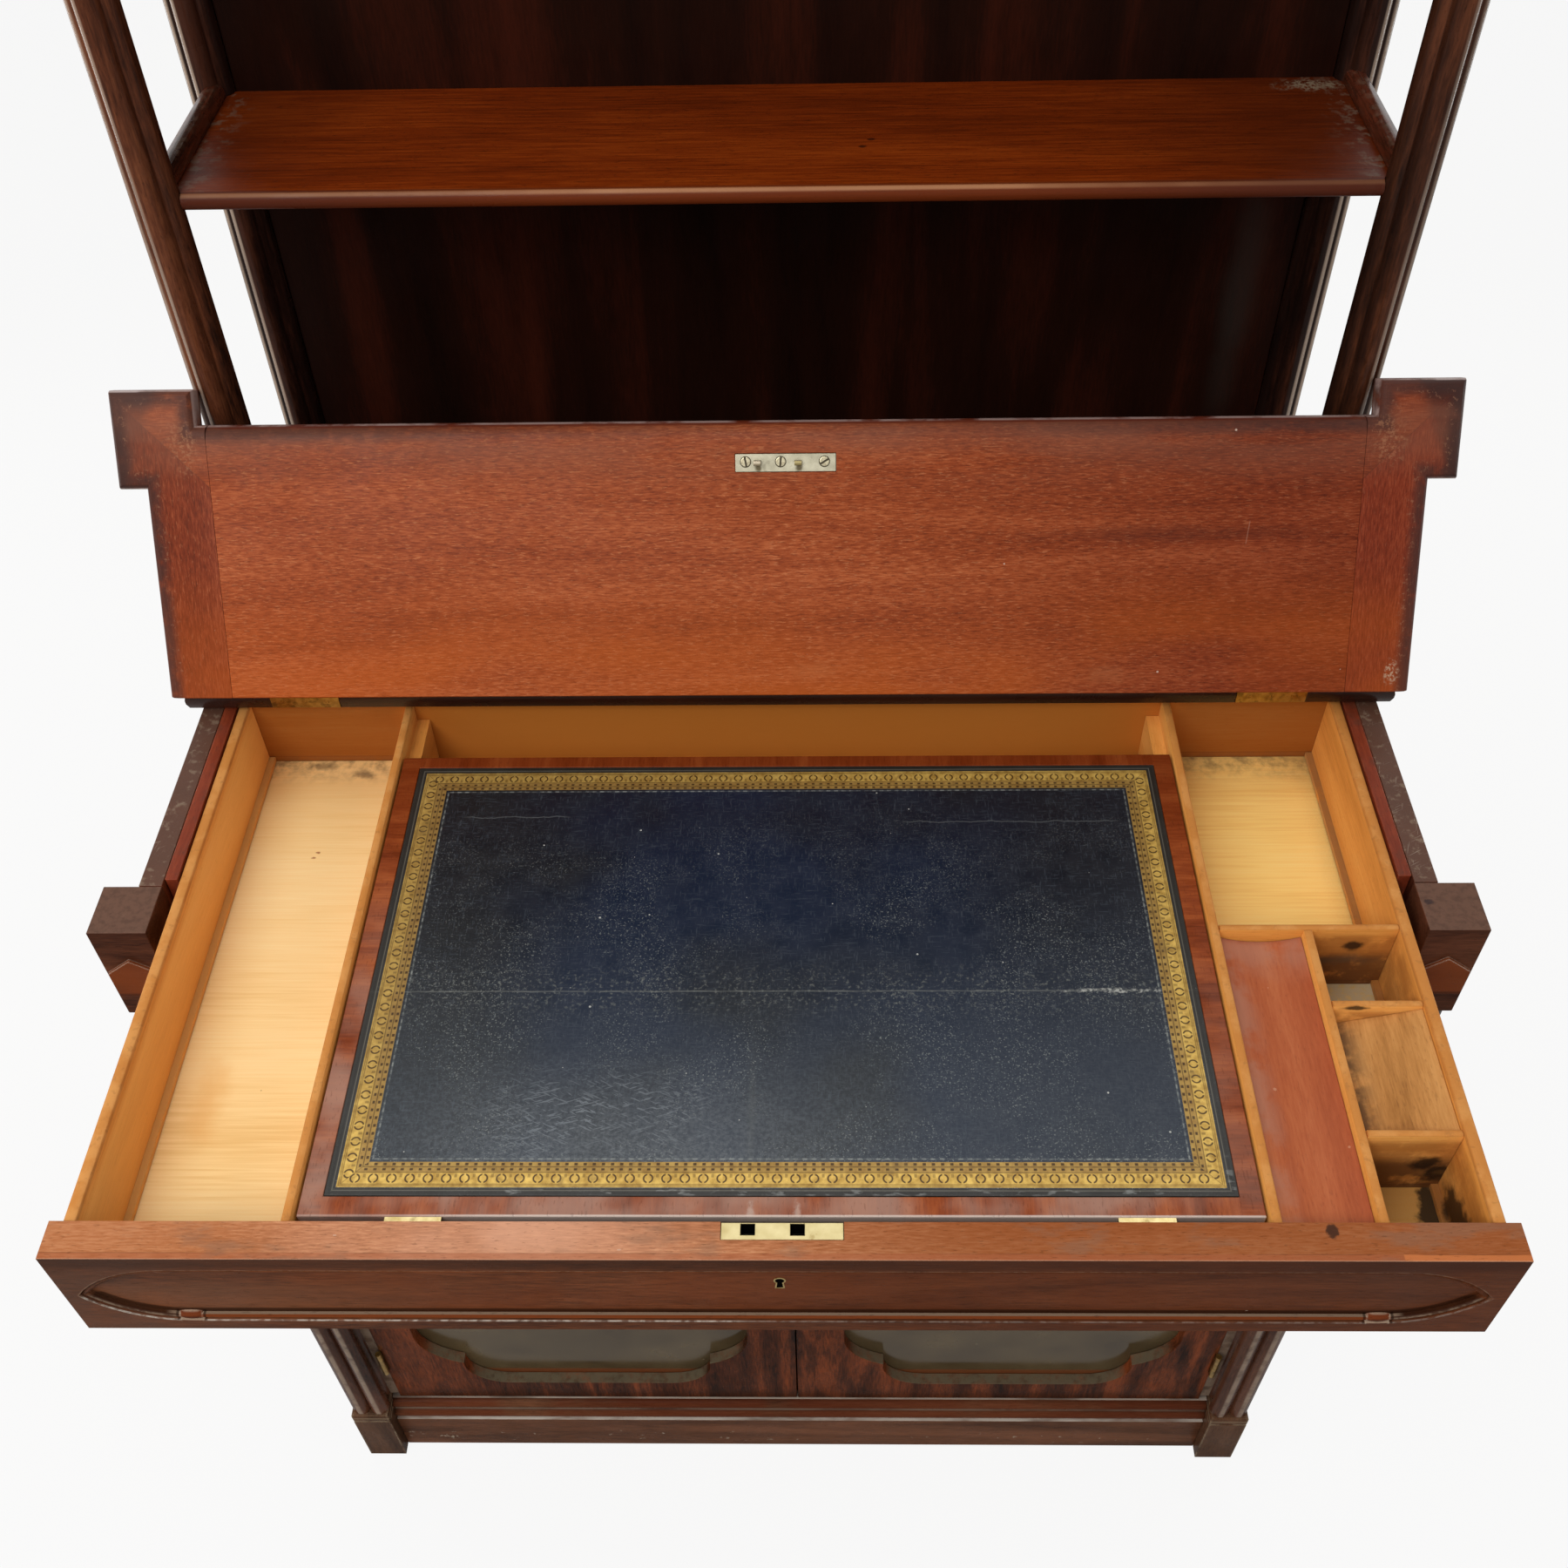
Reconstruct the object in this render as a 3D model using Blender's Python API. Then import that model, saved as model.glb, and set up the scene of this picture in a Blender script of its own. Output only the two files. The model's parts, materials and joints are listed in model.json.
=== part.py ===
"""Secretaire chiffonier: cupboard base, fitted secretaire drawer under a hinged lid, and open shelves above.

Case frame: x to the right, y to the back from the front of the corner blocks, z up from the floor, in metres.
Every piece is modelled closed. Empties on the joint axes then open the lid and pull the drawer out, and one
more empty sets the middle of the whole object's footprint on the world origin.
"""
from math import acos, atan2, cos, hypot, pi, radians, sin, sqrt

import bmesh
import bpy
from mathutils import Matrix

# Clearances
FIT = 0.0003          # between pieces that are glued, let in or resting on each other
RUN = 0.0006          # between pieces that slide or swing past each other

# Case
CASE_WIDTH = 0.914            # over the corner blocks
CASE_DEPTH = 0.485
CASE_HEIGHT = 0.910           # floor to the underside of the top
BLOCK_WIDTH = 0.0396          # frieze blocks at the front corners
BLOCK_DEPTH = 0.0398
BLOCK_HEIGHT = 0.0906
TABLET_PROUD = 0.0025         # pointed tablet on each frieze block
TABLET_MARGIN = 0.0018
TABLET_PEAK_DROP = 0.028
TABLET_SHOULDER_DROP = 0.042
TABLET_FOOT_DROP = 0.0675
SIDE_SETBACK = 0.0235         # side panel behind the blocks' outer faces
SIDE_THICKNESS = 0.016
BACK_THICKNESS = 0.0085
BOARD_THICKNESS = 0.016       # cupboard floor and shelf
DUSTBOARD_THICKNESS = 0.020
GUIDE_THICKNESS = 0.0087
CUPBOARD_SHELF_HEIGHT = 0.455
CUPBOARD_SHELF_SETBACK = 0.062

# Plinth and columns
PLINTH_HEIGHT = 0.065         # plain face below the mouldings
PLINTH_SETBACK = 0.012
PLINTH_THICKNESS = 0.018
LOWER_BEAD = 0.014            # heights of the two bead mouldings and of the flats beside them
UPPER_BEAD = 0.012
BEAD_FLAT = 0.0025
BEAD_STEP = 0.003             # each bead springs this far behind the one below
PLINTH_BLOCK_WIDTH = 0.038
PLINTH_BLOCK_HEIGHT = 0.090
PLINTH_CAP_HEIGHT = 0.013
PLINTH_CAP_ROUNDING = 0.0025
PLINTH_GROOVE_HEIGHT = 0.0022 # groove below the cap of a plinth block
PLINTH_GROOVE_DEPTH = 0.0013
SHAFT_DIAMETER = 0.0190       # each shaft of a cluster column
SHAFT_LAP = 0.0006            # how far neighbouring shafts run into each other
COLUMN_INSET = 0.0012         # column within the outline of its plinth block
STILE_SETBACK = 0.002         # hanging stile behind the door faces, between a column and its door

# Doors
DOOR_SETBACK = 0.022          # door faces and drawer front behind the block fronts
DOOR_THICKNESS = 0.020
DOOR_GAP = 0.0015             # above and below the doors
STILE_WIDTH = 0.0068          # what shows of the hanging stile beside the frieze block
DOOR_STILE = 0.0399           # outer edge of a door to its opening
DOOR_MEETING_STILE = 0.0466
DOOR_RAIL = 0.0355
OPENING_FOOT_HALF = 0.0814    # half of the opening's straight foot
OPENING_CORNER_RADIUS = 0.0412
OPENING_CUSP_ANGLE = 8        # degrees of the corner arc above its widest point
OPENING_LOBE_RISE = 0.058     # cusp to where the lobe reaches the full width
REBATE_DEPTH = 0.009
REBATE_LIP = 0.007
GLASS_THICKNESS = 0.003
DOOR_KNUCKLE_RADIUS = 0.003
DOOR_AXIS_OUT = 0.00075       # hinge axis beyond the door's edge
DOOR_HINGE_LENGTH = 0.0437
DOOR_HINGE_OFFSET = 0.066     # door edge to the near end of its hinge
DOOR_LEAF_WIDTH = 0.014
DOOR_LEAF_THICKNESS = 0.0015

# Top, lid and lid hinges
TOP_INSET = 0.015             # ends of the top within the outer faces of the blocks
TOP_THICKNESS = 0.0222
LID_GAP = 0.0008              # lid above the closed drawer and the case
LID_AXIS_Y = 0.204
LID_FRONT_Y = 0.0128
NOSING = 0.0095               # rounding of the top's and lid's edges
CLAMP_WIDTH = 0.046           # clamped ends of the lid
EAR_WIDTH = 0.0586            # ears that cover the frieze blocks
EAR_OVERHANG = 0.0046         # ears beyond the blocks' outer faces
EAR_FRONT_OVERHANG = 0.0113
EAR_LENGTH = 0.067
LID_HINGE_INSET = 0.089       # middle of a hinge from the end of the top
LID_HINGE_LENGTH = 0.0505
LID_KNUCKLE_RADIUS = 0.0025
LID_PIN_RADIUS = 0.001
LID_LEAF_HEIGHT = 0.0165
LID_LEAF_THICKNESS = 0.0015

# Link plate on the lid and box lock in the drawer front
LOCK_X = 0.0024               # middle of both plates
LOCK_LENGTH = 0.0688
LOCK_PLATE_WIDTH = 0.0105
LOCK_PLATE_THICKNESS = 0.0022
LOCK_CASE_LENGTH = 0.058
LOCK_CASE_WIDTH = 0.0085
LOCK_CASE_HEIGHT = 0.040
LINK_SPACING = 0.028
LINK_OFFSET = -0.003          # middle of the two links from the middle of the whole object
LINK_HOLE_LENGTH = 0.0080
LINK_HOLE_WIDTH = 0.0070
LINK_HOLE_DEPTH = 0.012
LINK_LENGTH = 0.0050
LINK_WIDTH = 0.0032
LINK_DROP = 0.0055
LINK_PLATE_WIDTH = 0.012
LINK_PLATE_THICKNESS = 0.002

# Secretaire drawer
DRAWER_PULL = 0.2504          # how far it stands out in the resting pose
FRONT_END_GAP = 0.0027        # drawer front to a frieze block
FRONT_THICKNESS = 0.0232
FRONT_HEIGHT = 0.0893
DRAWER_SIDE_THICKNESS = 0.0077
DRAWER_SIDE_DROP = 0.0015     # top of the drawer's sides below the top of its front
DRAWER_BACK_THICKNESS = 0.008
DRAWER_BACK_GAP = 0.0008      # closed drawer to the back panel
DRAWER_FLOOR_DROP = 0.064     # inside floor below the top of the front
DRAWER_BOTTOM_THICKNESS = 0.007
SLIP_WIDTH = 0.0045
SLIP_HEIGHT = 0.0042
TRAY_WIDTH = 0.1162           # compartments at the ends of the drawer
PARTITION_THICKNESS = 0.006
PARTITION_DROP = 0.0035       # tops of partitions and dividers below the top of the front
DIVIDER_THICKNESS = 0.005
TOP_ROUNDING = 0.0018         # tops of the drawer's sides, partitions and dividers
CROSS_DIVIDER_PLACE = 0.2109  # middles of the dividers from the inside of the drawer front
INK_REAR_PLACE = 0.1509
INK_FRONT_PLACE = 0.0589
PEN_TRAY_WIDTH = 0.054
PEN_TRAY_DROP = 0.007         # long edges of the pen tray below the partitions
PEN_TRAY_DISH = 0.005         # depth of its hollow
SUNK_DEPTH = 0.004            # sunk panel of the drawer front
SUNK_END_MARGIN = 0.0085      # tips of its pointed ends from the ends of the front
SUNK_POINT = 0.0572           # length of a pointed end
SUNK_HALF_HEIGHT = 0.032
SUNK_CENTRE_RISE = 0.0430     # its middle above the front's lower edge
FRONT_BEAD_RADIUS = 0.0021
FRONT_BEAD_DEPTH = 0.0029     # face of the front to the middle of its bead
COLLAR_RADIUS = 0.0041
COLLAR_END_RADIUS = 0.0026
COLLAR_LENGTH = 0.0135

# Writing slope
SLOPE_SIDE_GAP = 0.0015       # slope to a partition
SLOPE_FRONT_GAP = 0.0067      # drawer front to the slope
SLOPE_LENGTH = 0.3635
SLOPE_THICKNESS = 0.0125
SLOPE_DROP = 0.007            # top of the slope below the top of the drawer front
LEATHER_SIDE_BORDER = 0.0133  # crossbanding round the leather
LEATHER_FRONT_BORDER = 0.0132
LEATHER_REAR_BORDER = 0.0106
LEATHER_THICKNESS = 0.0015
LEDGE_WIDTH = 0.0095          # bearer along each partition under the slope
SLOPE_HINGE_INSET = 0.0675    # middle of a hinge from the slope's end
SLOPE_HINGE_LENGTH = 0.0327
SLOPE_KNUCKLE_RADIUS = 0.0013
SLOPE_LEAF_HEIGHT = 0.010     # leaf on the slope's front edge
SLOPE_LEAF_THICKNESS = 0.0012

# Superstructure
POST_INSET = 0.04745          # middle of a post from the end of the top
POST_SETBACK = 0.101          # front of the front posts behind the lid's hinges
POST_SHAFT_DIAMETER = 0.017   # each shaft of a cluster post
POST_SHAFT_LAP = 0.0065
POST_REAR_MARGIN = 0.001      # rear posts in front of the back of the case
UPPER_HEIGHT = 0.6120         # posts between the fixed top and the top shelf
MIDDLE_SHELF_RISE = 0.3238    # fixed top to the middle shelf's upper face
MIDDLE_SHELF_THICKNESS = 0.0116
SHELF_FRONT_PROUD = 0.0025    # shelf in front of the middles of the front posts
SHELF_NOSING = 0.0052
RAIL_WIDTH = 0.014
RAIL_INSET = 0.0047           # end rails beyond the posts' inner sides
RAIL_RISE = 0.010
RAIL_ROUNDING = 0.0063
UPPER_BACK_THICKNESS = 0.012
UPPER_BACK_HOUSING = 0.004    # back panel past the inner sides of the rear posts, cut to their shape
TOP_SHELF_THICKNESS = 0.018
TOP_SHELF_OVERHANG = 0.012

# Facets
ARC_STEPS = 8                 # for a quarter of a large curve
ROUND_SIDES = 16
SMALL_SIDES = 12

# Levels and faces worked out from the sizes above
HALF = CASE_WIDTH / 2
SIDE_OUTER = HALF - SIDE_SETBACK
SIDE_INNER = SIDE_OUTER - SIDE_THICKNESS
BACK_FRONT = CASE_DEPTH - BACK_THICKNESS
FLOOR_TOP = PLINTH_HEIGHT + LOWER_BEAD + UPPER_BEAD + 3 * BEAD_FLAT
DUST_TOP = CASE_HEIGHT - BLOCK_HEIGHT
DOOR_BOTTOM = FLOOR_TOP + DOOR_GAP
DOOR_TOP = DUST_TOP - DUSTBOARD_THICKNESS - DOOR_GAP
STILE_INNER = HALF - BLOCK_WIDTH - STILE_WIDTH
DOOR_OUTER = STILE_INNER - RUN
TOP_BOTTOM = CASE_HEIGHT + FIT
TOP_TOP = TOP_BOTTOM + TOP_THICKNESS
TOP_HALF_WIDTH = HALF - TOP_INSET
CLAMP_INNER = TOP_HALF_WIDTH - CLAMP_WIDTH
LID_HINGE_X = TOP_HALF_WIDTH - LID_HINGE_INSET
LID_BOTTOM = CASE_HEIGHT + LID_GAP
EAR_OUTER = HALF + EAR_OVERHANG
EAR_INNER = EAR_OUTER - EAR_WIDTH
EAR_FRONT_Y = -EAR_FRONT_OVERHANG
FRONT_BACK_Y = DOOR_SETBACK + FRONT_THICKNESS
FRONT_BOTTOM = CASE_HEIGHT - FRONT_HEIGHT
FRONT_HALF_WIDTH = HALF - BLOCK_WIDTH - FRONT_END_GAP
SUNK_REACH = FRONT_HALF_WIDTH - SUNK_END_MARGIN
SUNK_STRAIGHT = SUNK_REACH - SUNK_POINT
GUIDE_INNER = SIDE_INNER - FIT - GUIDE_THICKNESS
BOX_OUTER = GUIDE_INNER - RUN
BOX_INNER = BOX_OUTER - DRAWER_SIDE_THICKNESS
BOX_FRONT = FRONT_BACK_Y + FIT
BOX_BACK = BACK_FRONT - DRAWER_BACK_GAP
BOX_BACK_INNER = BOX_BACK - DRAWER_BACK_THICKNESS
BOX_FLOOR = CASE_HEIGHT - DRAWER_FLOOR_DROP
DIVIDER_BASE = BOX_FLOOR + FIT
DIVIDER_TOP = CASE_HEIGHT - PARTITION_DROP
PARTITION_OUTER = BOX_INNER - TRAY_WIDTH
PARTITION_X = PARTITION_OUTER - PARTITION_THICKNESS
PEN_DIVIDER_X = PARTITION_OUTER + PEN_TRAY_WIDTH
CROSS_DIVIDER_Y = BOX_FRONT + CROSS_DIVIDER_PLACE
SLOPE_HALF_WIDTH = PARTITION_X - SLOPE_SIDE_GAP
SLOPE_HINGE_X = SLOPE_HALF_WIDTH - SLOPE_HINGE_INSET
SLOPE_TOP = CASE_HEIGHT - SLOPE_DROP
SLOPE_BOTTOM = SLOPE_TOP - SLOPE_THICKNESS
SLOPE_FRONT = FRONT_BACK_Y + SLOPE_FRONT_GAP
SLOPE_BACK = SLOPE_FRONT + SLOPE_LENGTH
SLOPE_AXIS_Y = FRONT_BACK_Y + FIT + SLOPE_KNUCKLE_RADIUS
LOCK_BACK_Y = FRONT_BACK_Y - FIT
LINK_Y = LOCK_BACK_Y - LOCK_CASE_WIDTH / 2
POST_TOP = TOP_TOP + UPPER_HEIGHT
POST_HALF = (POST_SHAFT_DIAMETER - POST_SHAFT_LAP) / sqrt(2) + POST_SHAFT_DIAMETER / 2
POST_X = TOP_HALF_WIDTH - POST_INSET
POST_INNER = POST_X - POST_HALF
POST_OUTER = POST_X + POST_HALF
POST_SHAFT_FRONT = LID_AXIS_Y + POST_SETBACK
FRONT_POST_Y = POST_SHAFT_FRONT + POST_HALF
REAR_POST_Y = CASE_DEPTH - POST_REAR_MARGIN - POST_HALF
MIDDLE_SHELF_TOP = TOP_TOP + MIDDLE_SHELF_RISE
DOOR_AXIS_X = DOOR_OUTER + DOOR_AXIS_OUT
DOOR_AXIS_Y = DOOR_SETBACK - DOOR_KNUCKLE_RADIUS


def lid_opening():
    """Angle in radians from closed to where the ears lean on the outer shafts of the front posts."""
    along = LID_AXIS_Y - EAR_FRONT_Y - NOSING
    room = FRONT_POST_Y - POST_SHAFT_DIAMETER / 2 - FIT - LID_AXIS_Y - NOSING
    lean = acos(room / hypot(along, NOSING)) - atan2(NOSING, along)
    return pi - lean


# Colours: red, green, blue, roughness, metallic
FINISHES = {
    "mahogany": (0.190, 0.060, 0.025, 0.32, 0.0),
    "dark_mahogany": (0.060, 0.020, 0.012, 0.25, 0.0),
    "lid_mahogany": (0.250, 0.075, 0.030, 0.40, 0.0),
    "red_mahogany": (0.300, 0.080, 0.035, 0.50, 0.0),
    "cedar": (0.420, 0.190, 0.060, 0.55, 0.0),
    "pale_oak": (0.560, 0.360, 0.150, 0.65, 0.0),
    "pine": (0.330, 0.190, 0.090, 0.75, 0.0),
    "brass": (0.700, 0.560, 0.260, 0.35, 1.0),
    "nickel": (0.480, 0.440, 0.380, 0.40, 1.0),
    "blue_leather": (0.018, 0.024, 0.045, 0.45, 0.0),
    "old_glass": (0.120, 0.115, 0.085, 0.15, 0.0),
}


def clear_scene():
    for obj in list(bpy.data.objects):
        bpy.data.objects.remove(obj, do_unlink=True)


def new_collection(name):
    collection = bpy.data.collections.new(name)
    bpy.context.scene.collection.children.link(collection)
    return collection


def finish(name):
    """The material of that name, made on first use."""
    material = bpy.data.materials.get(name)
    if material:
        return material
    red, green, blue, roughness, metallic = FINISHES[name]
    material = bpy.data.materials.new(name)
    material.use_nodes = True
    shader = material.node_tree.nodes["Principled BSDF"]
    shader.inputs["Base Color"].default_value = (red, green, blue, 1)
    shader.inputs["Roughness"].default_value = roughness
    shader.inputs["Metallic"].default_value = metallic
    material.diffuse_color = (red, green, blue, 1)
    return material


def new_axis(name, parent, closed_at):
    """An empty on a joint's axis. closed_at is its place in the closed case frame."""
    empty = bpy.data.objects.new(name, None)
    empty.parent = parent["empty"] if parent else None
    start = parent["closed_at"] if parent else (0, 0, 0)
    empty.location = [a - b for a, b in zip(closed_at, start)]
    PARTS.objects.link(empty)
    return {"empty": empty, "closed_at": closed_at}


def put(mesh, name, axis, material=None, cutter=False):
    """A new object that shows a mesh given in the closed case frame, carried by an axis."""
    mesh.name = name
    obj = bpy.data.objects.new(name, mesh)
    obj.parent = axis["empty"]
    obj.location = [-a for a in axis["closed_at"]]
    if cutter:
        obj.hide_render = True
        obj.display_type = "WIRE"
        CUTTERS.objects.link(obj)
    else:
        mesh.materials.append(finish(material))
        PARTS.objects.link(obj)
    return obj


def combine(obj, operation, mesh, axis, name):
    """Cut a mesh out of an object, or add it, with a live Boolean modifier."""
    other = put(mesh, f"{obj.name}_{name}", axis, cutter=True)
    modifier = obj.modifiers.new(name, "BOOLEAN")
    modifier.operation = operation
    modifier.solver = "EXACT"
    modifier.object = other


def cut(obj, mesh, axis, name):
    combine(obj, "DIFFERENCE", mesh, axis, name)


def add(obj, mesh, axis, name):
    combine(obj, "UNION", mesh, axis, name)


def mesh_from(work):
    mesh = bpy.data.meshes.new("shape")
    work.to_mesh(mesh)
    work.free()
    return mesh


def cuboid(x, y, z):
    """A box from its low and high limits along each axis, in either order."""
    sizes = [abs(span[1] - span[0]) for span in (x, y, z)]
    middle = [(span[0] + span[1]) / 2 for span in (x, y, z)]
    work = bmesh.new()
    bmesh.ops.create_cube(work, size=1)
    bmesh.ops.scale(work, vec=sizes, verts=work.verts)
    bmesh.ops.translate(work, vec=middle, verts=work.verts)
    return mesh_from(work)


def upright_rod(radius, x, y, z, sides=ROUND_SIDES):
    """A cylinder along z, between the two limits in z."""
    work = bmesh.new()
    bmesh.ops.create_cone(
        work, cap_ends=True, segments=sides, radius1=radius, radius2=radius, depth=abs(z[1] - z[0])
    )
    bmesh.ops.translate(work, vec=(x, y, (z[0] + z[1]) / 2), verts=work.verts)
    return mesh_from(work)


def level_rod(radius, x, y, z, sides=ROUND_SIDES):
    """A cylinder along x, between the two limits in x."""
    half = (x[1] - x[0]) / 2
    mesh = upright_rod(radius, 0, 0, (-half, half), sides)
    mesh.transform(Matrix.Translation(((x[0] + x[1]) / 2, y, z)) @ Matrix.Rotation(pi / 2, 4, "Y"))
    return mesh


def prism(outline, low, high, axis="z"):
    """A flat outline extruded from low to high along x, y or z.

    The outline's two numbers are (x, y) for z, (y, z) for x and (x, z) for y.
    """
    curve = bpy.data.curves.new("outline", "CURVE")
    curve.dimensions = "2D"
    curve.fill_mode = "BOTH"
    curve.extrude = (high - low) / 2
    spline = curve.splines.new("POLY")
    spline.points.add(len(outline) - 1)
    for point, (a, b) in zip(spline.points, outline):
        point.co = (a, b, 0, 1)
    spline.use_cyclic_u = True
    holder = bpy.data.objects.new("outline", curve)
    bpy.context.scene.collection.objects.link(holder)
    graph = bpy.context.evaluated_depsgraph_get()
    mesh = bpy.data.meshes.new_from_object(holder.evaluated_get(graph))
    bpy.data.objects.remove(holder)
    bpy.data.curves.remove(curve)
    work = bmesh.new()
    work.from_mesh(mesh)
    bpy.data.meshes.remove(mesh)
    bmesh.ops.remove_doubles(work, verts=work.verts, dist=1e-6)
    flat = [edge for edge in work.edges if edge.is_manifold and edge.calc_face_angle() < 1e-4]
    bmesh.ops.dissolve_edges(work, edges=flat, use_verts=False)
    bmesh.ops.translate(work, vec=(0, 0, (low + high) / 2), verts=work.verts)
    turn = {
        "z": Matrix.Identity(3),
        "x": Matrix(((0, 0, 1), (1, 0, 0), (0, 1, 0))),
        "y": Matrix(((1, 0, 0), (0, 0, 1), (0, 1, 0))),
    }[axis]
    bmesh.ops.transform(work, matrix=turn.to_4x4(), verts=work.verts)
    bmesh.ops.recalc_face_normals(work, faces=work.faces)
    return mesh_from(work)


def soften(mesh, radius, wanted, segments=3):
    """Round those edges of a mesh for which wanted(start, end) is true."""
    work = bmesh.new()
    work.from_mesh(mesh)
    chosen = [edge for edge in work.edges if wanted(edge.verts[0].co, edge.verts[1].co)]
    bmesh.ops.bevel(
        work, geom=chosen, offset=radius, segments=segments, profile=0.5, affect="EDGES", clamp_overlap=True
    )
    work.to_mesh(mesh)
    work.free()
    return mesh


def near(a, b):
    return abs(a - b) < 1e-5


def arc(centre, radius, start, end, steps):
    """Points along an arc, angles in degrees, both ends included."""
    turns = [radians(start + (end - start) * i / steps) for i in range(steps + 1)]
    return [(centre[0] + radius * cos(a), centre[1] + radius * sin(a)) for a in turns]


def mirrored(outline, sign):
    return [(sign * a, b) for a, b in outline]


def span(sign, inner, outer):
    """The x limits of a piece on one side of the middle."""
    return tuple(sorted((sign * inner, sign * outer)))


SIDES = (("left", -1), ("right", 1))
POSTS = (("front", FRONT_POST_Y), ("rear", REAR_POST_Y))


def bead_moulding():
    """Section of the plinth: plain face, two beads, each a step further back. Given as (setback, z)."""
    setback = PLINTH_SETBACK
    section = [(setback + PLINTH_THICKNESS, 0), (setback, 0), (setback, PLINTH_HEIGHT)]
    level = PLINTH_HEIGHT + BEAD_FLAT
    for height in (LOWER_BEAD, UPPER_BEAD):
        spring = setback + height / 2
        section.append((spring, level - BEAD_FLAT))
        section += arc((spring, level + height / 2), height / 2, 270, 90, ARC_STEPS)
        level += height + BEAD_FLAT
        setback += BEAD_STEP
    section += [(spring, level), (PLINTH_SETBACK + PLINTH_THICKNESS, level)]
    return section


def make_plinth():
    section = bead_moulding()
    front_half = HALF - PLINTH_BLOCK_WIDTH - FIT
    put(prism(section, -front_half, front_half, "x"), "plinth_front", CASE, "dark_mahogany")
    for side, sign in SIDES:
        across = [(sign * (HALF - setback), z) for setback, z in section]
        board = prism(across, PLINTH_BLOCK_WIDTH + FIT, CASE_DEPTH, "y")
        put(board, f"plinth_side_{side}", CASE, "dark_mahogany")
        make_plinth_block(side, sign)


def make_plinth_block(side, sign):
    """Square block with a groove below its rounded cap."""

    def square(inset, low, high):
        x = span(sign, HALF - PLINTH_BLOCK_WIDTH + inset, HALF - inset)
        return cuboid(x, (inset, PLINTH_BLOCK_WIDTH - inset), (low, high))

    cap_top = PLINTH_BLOCK_HEIGHT + PLINTH_CAP_HEIGHT
    groove_low = PLINTH_BLOCK_HEIGHT - PLINTH_GROOVE_HEIGHT
    block = put(square(0, 0, groove_low), f"plinth_block_{side}", CASE, "dark_mahogany")
    neck = square(PLINTH_GROOVE_DEPTH, groove_low - RUN, PLINTH_BLOCK_HEIGHT + RUN)
    cap = square(0, PLINTH_BLOCK_HEIGHT, cap_top)
    soften(cap, PLINTH_CAP_ROUNDING, lambda a, b: near(a.z, cap_top) and near(b.z, cap_top), 2)
    add(block, neck, CASE, "neck")
    add(block, cap, CASE, "cap")


def cluster_outline(centre_x, centre_y, diameter, lap, first_turn):
    """Four round shafts bundled round a middle. The first stands first_turn degrees from the x axis."""
    radius = diameter / 2
    half_step = (diameter - lap) / 2
    reach = half_step * sqrt(2)
    sweep = 135 - acos(half_step / radius) * 180 / pi
    outline = []
    for turn in range(first_turn, first_turn + 360, 90):
        middle = (centre_x + reach * cos(radians(turn)), centre_y + reach * sin(radians(turn)))
        outline += arc(middle, radius, turn - sweep, turn + sweep, ARC_STEPS)[:-1]
    return outline


def make_columns():
    """Cluster columns, each with the plain stile behind it that its door hangs on."""
    levels = (PLINTH_BLOCK_HEIGHT + PLINTH_CAP_HEIGHT + FIT, DUST_TOP - FIT)
    reach = COLUMN_INSET + SHAFT_DIAMETER - SHAFT_LAP / 2
    middle = HALF - reach
    for side, sign in SIDES:
        outline = cluster_outline(sign * middle, reach, SHAFT_DIAMETER, SHAFT_LAP, 45)
        column = put(prism(outline, *levels), f"column_{side}", CASE, "dark_mahogany")
        stile = cuboid(span(sign, STILE_INNER, middle), (DOOR_SETBACK + STILE_SETBACK, BLOCK_DEPTH), levels)
        add(column, stile, CASE, "stile")


def make_frieze_blocks():
    inner = HALF - BLOCK_WIDTH
    for side, sign in SIDES:
        block = put(
            cuboid(span(sign, inner, HALF), (0, BLOCK_DEPTH), (DUST_TOP, CASE_HEIGHT)),
            f"frieze_block_{side}", CASE, "dark_mahogany",
        )
        tablet = [
            (inner + TABLET_MARGIN, CASE_HEIGHT - TABLET_FOOT_DROP),
            (HALF - TABLET_MARGIN, CASE_HEIGHT - TABLET_FOOT_DROP),
            (HALF - TABLET_MARGIN, CASE_HEIGHT - TABLET_SHOULDER_DROP),
            (HALF - BLOCK_WIDTH / 2, CASE_HEIGHT - TABLET_PEAK_DROP),
            (inner + TABLET_MARGIN, CASE_HEIGHT - TABLET_SHOULDER_DROP),
        ]
        add(block, prism(mirrored(tablet, sign), -TABLET_PROUD, TABLET_PROUD, "y"), CASE, "tablet")


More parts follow.
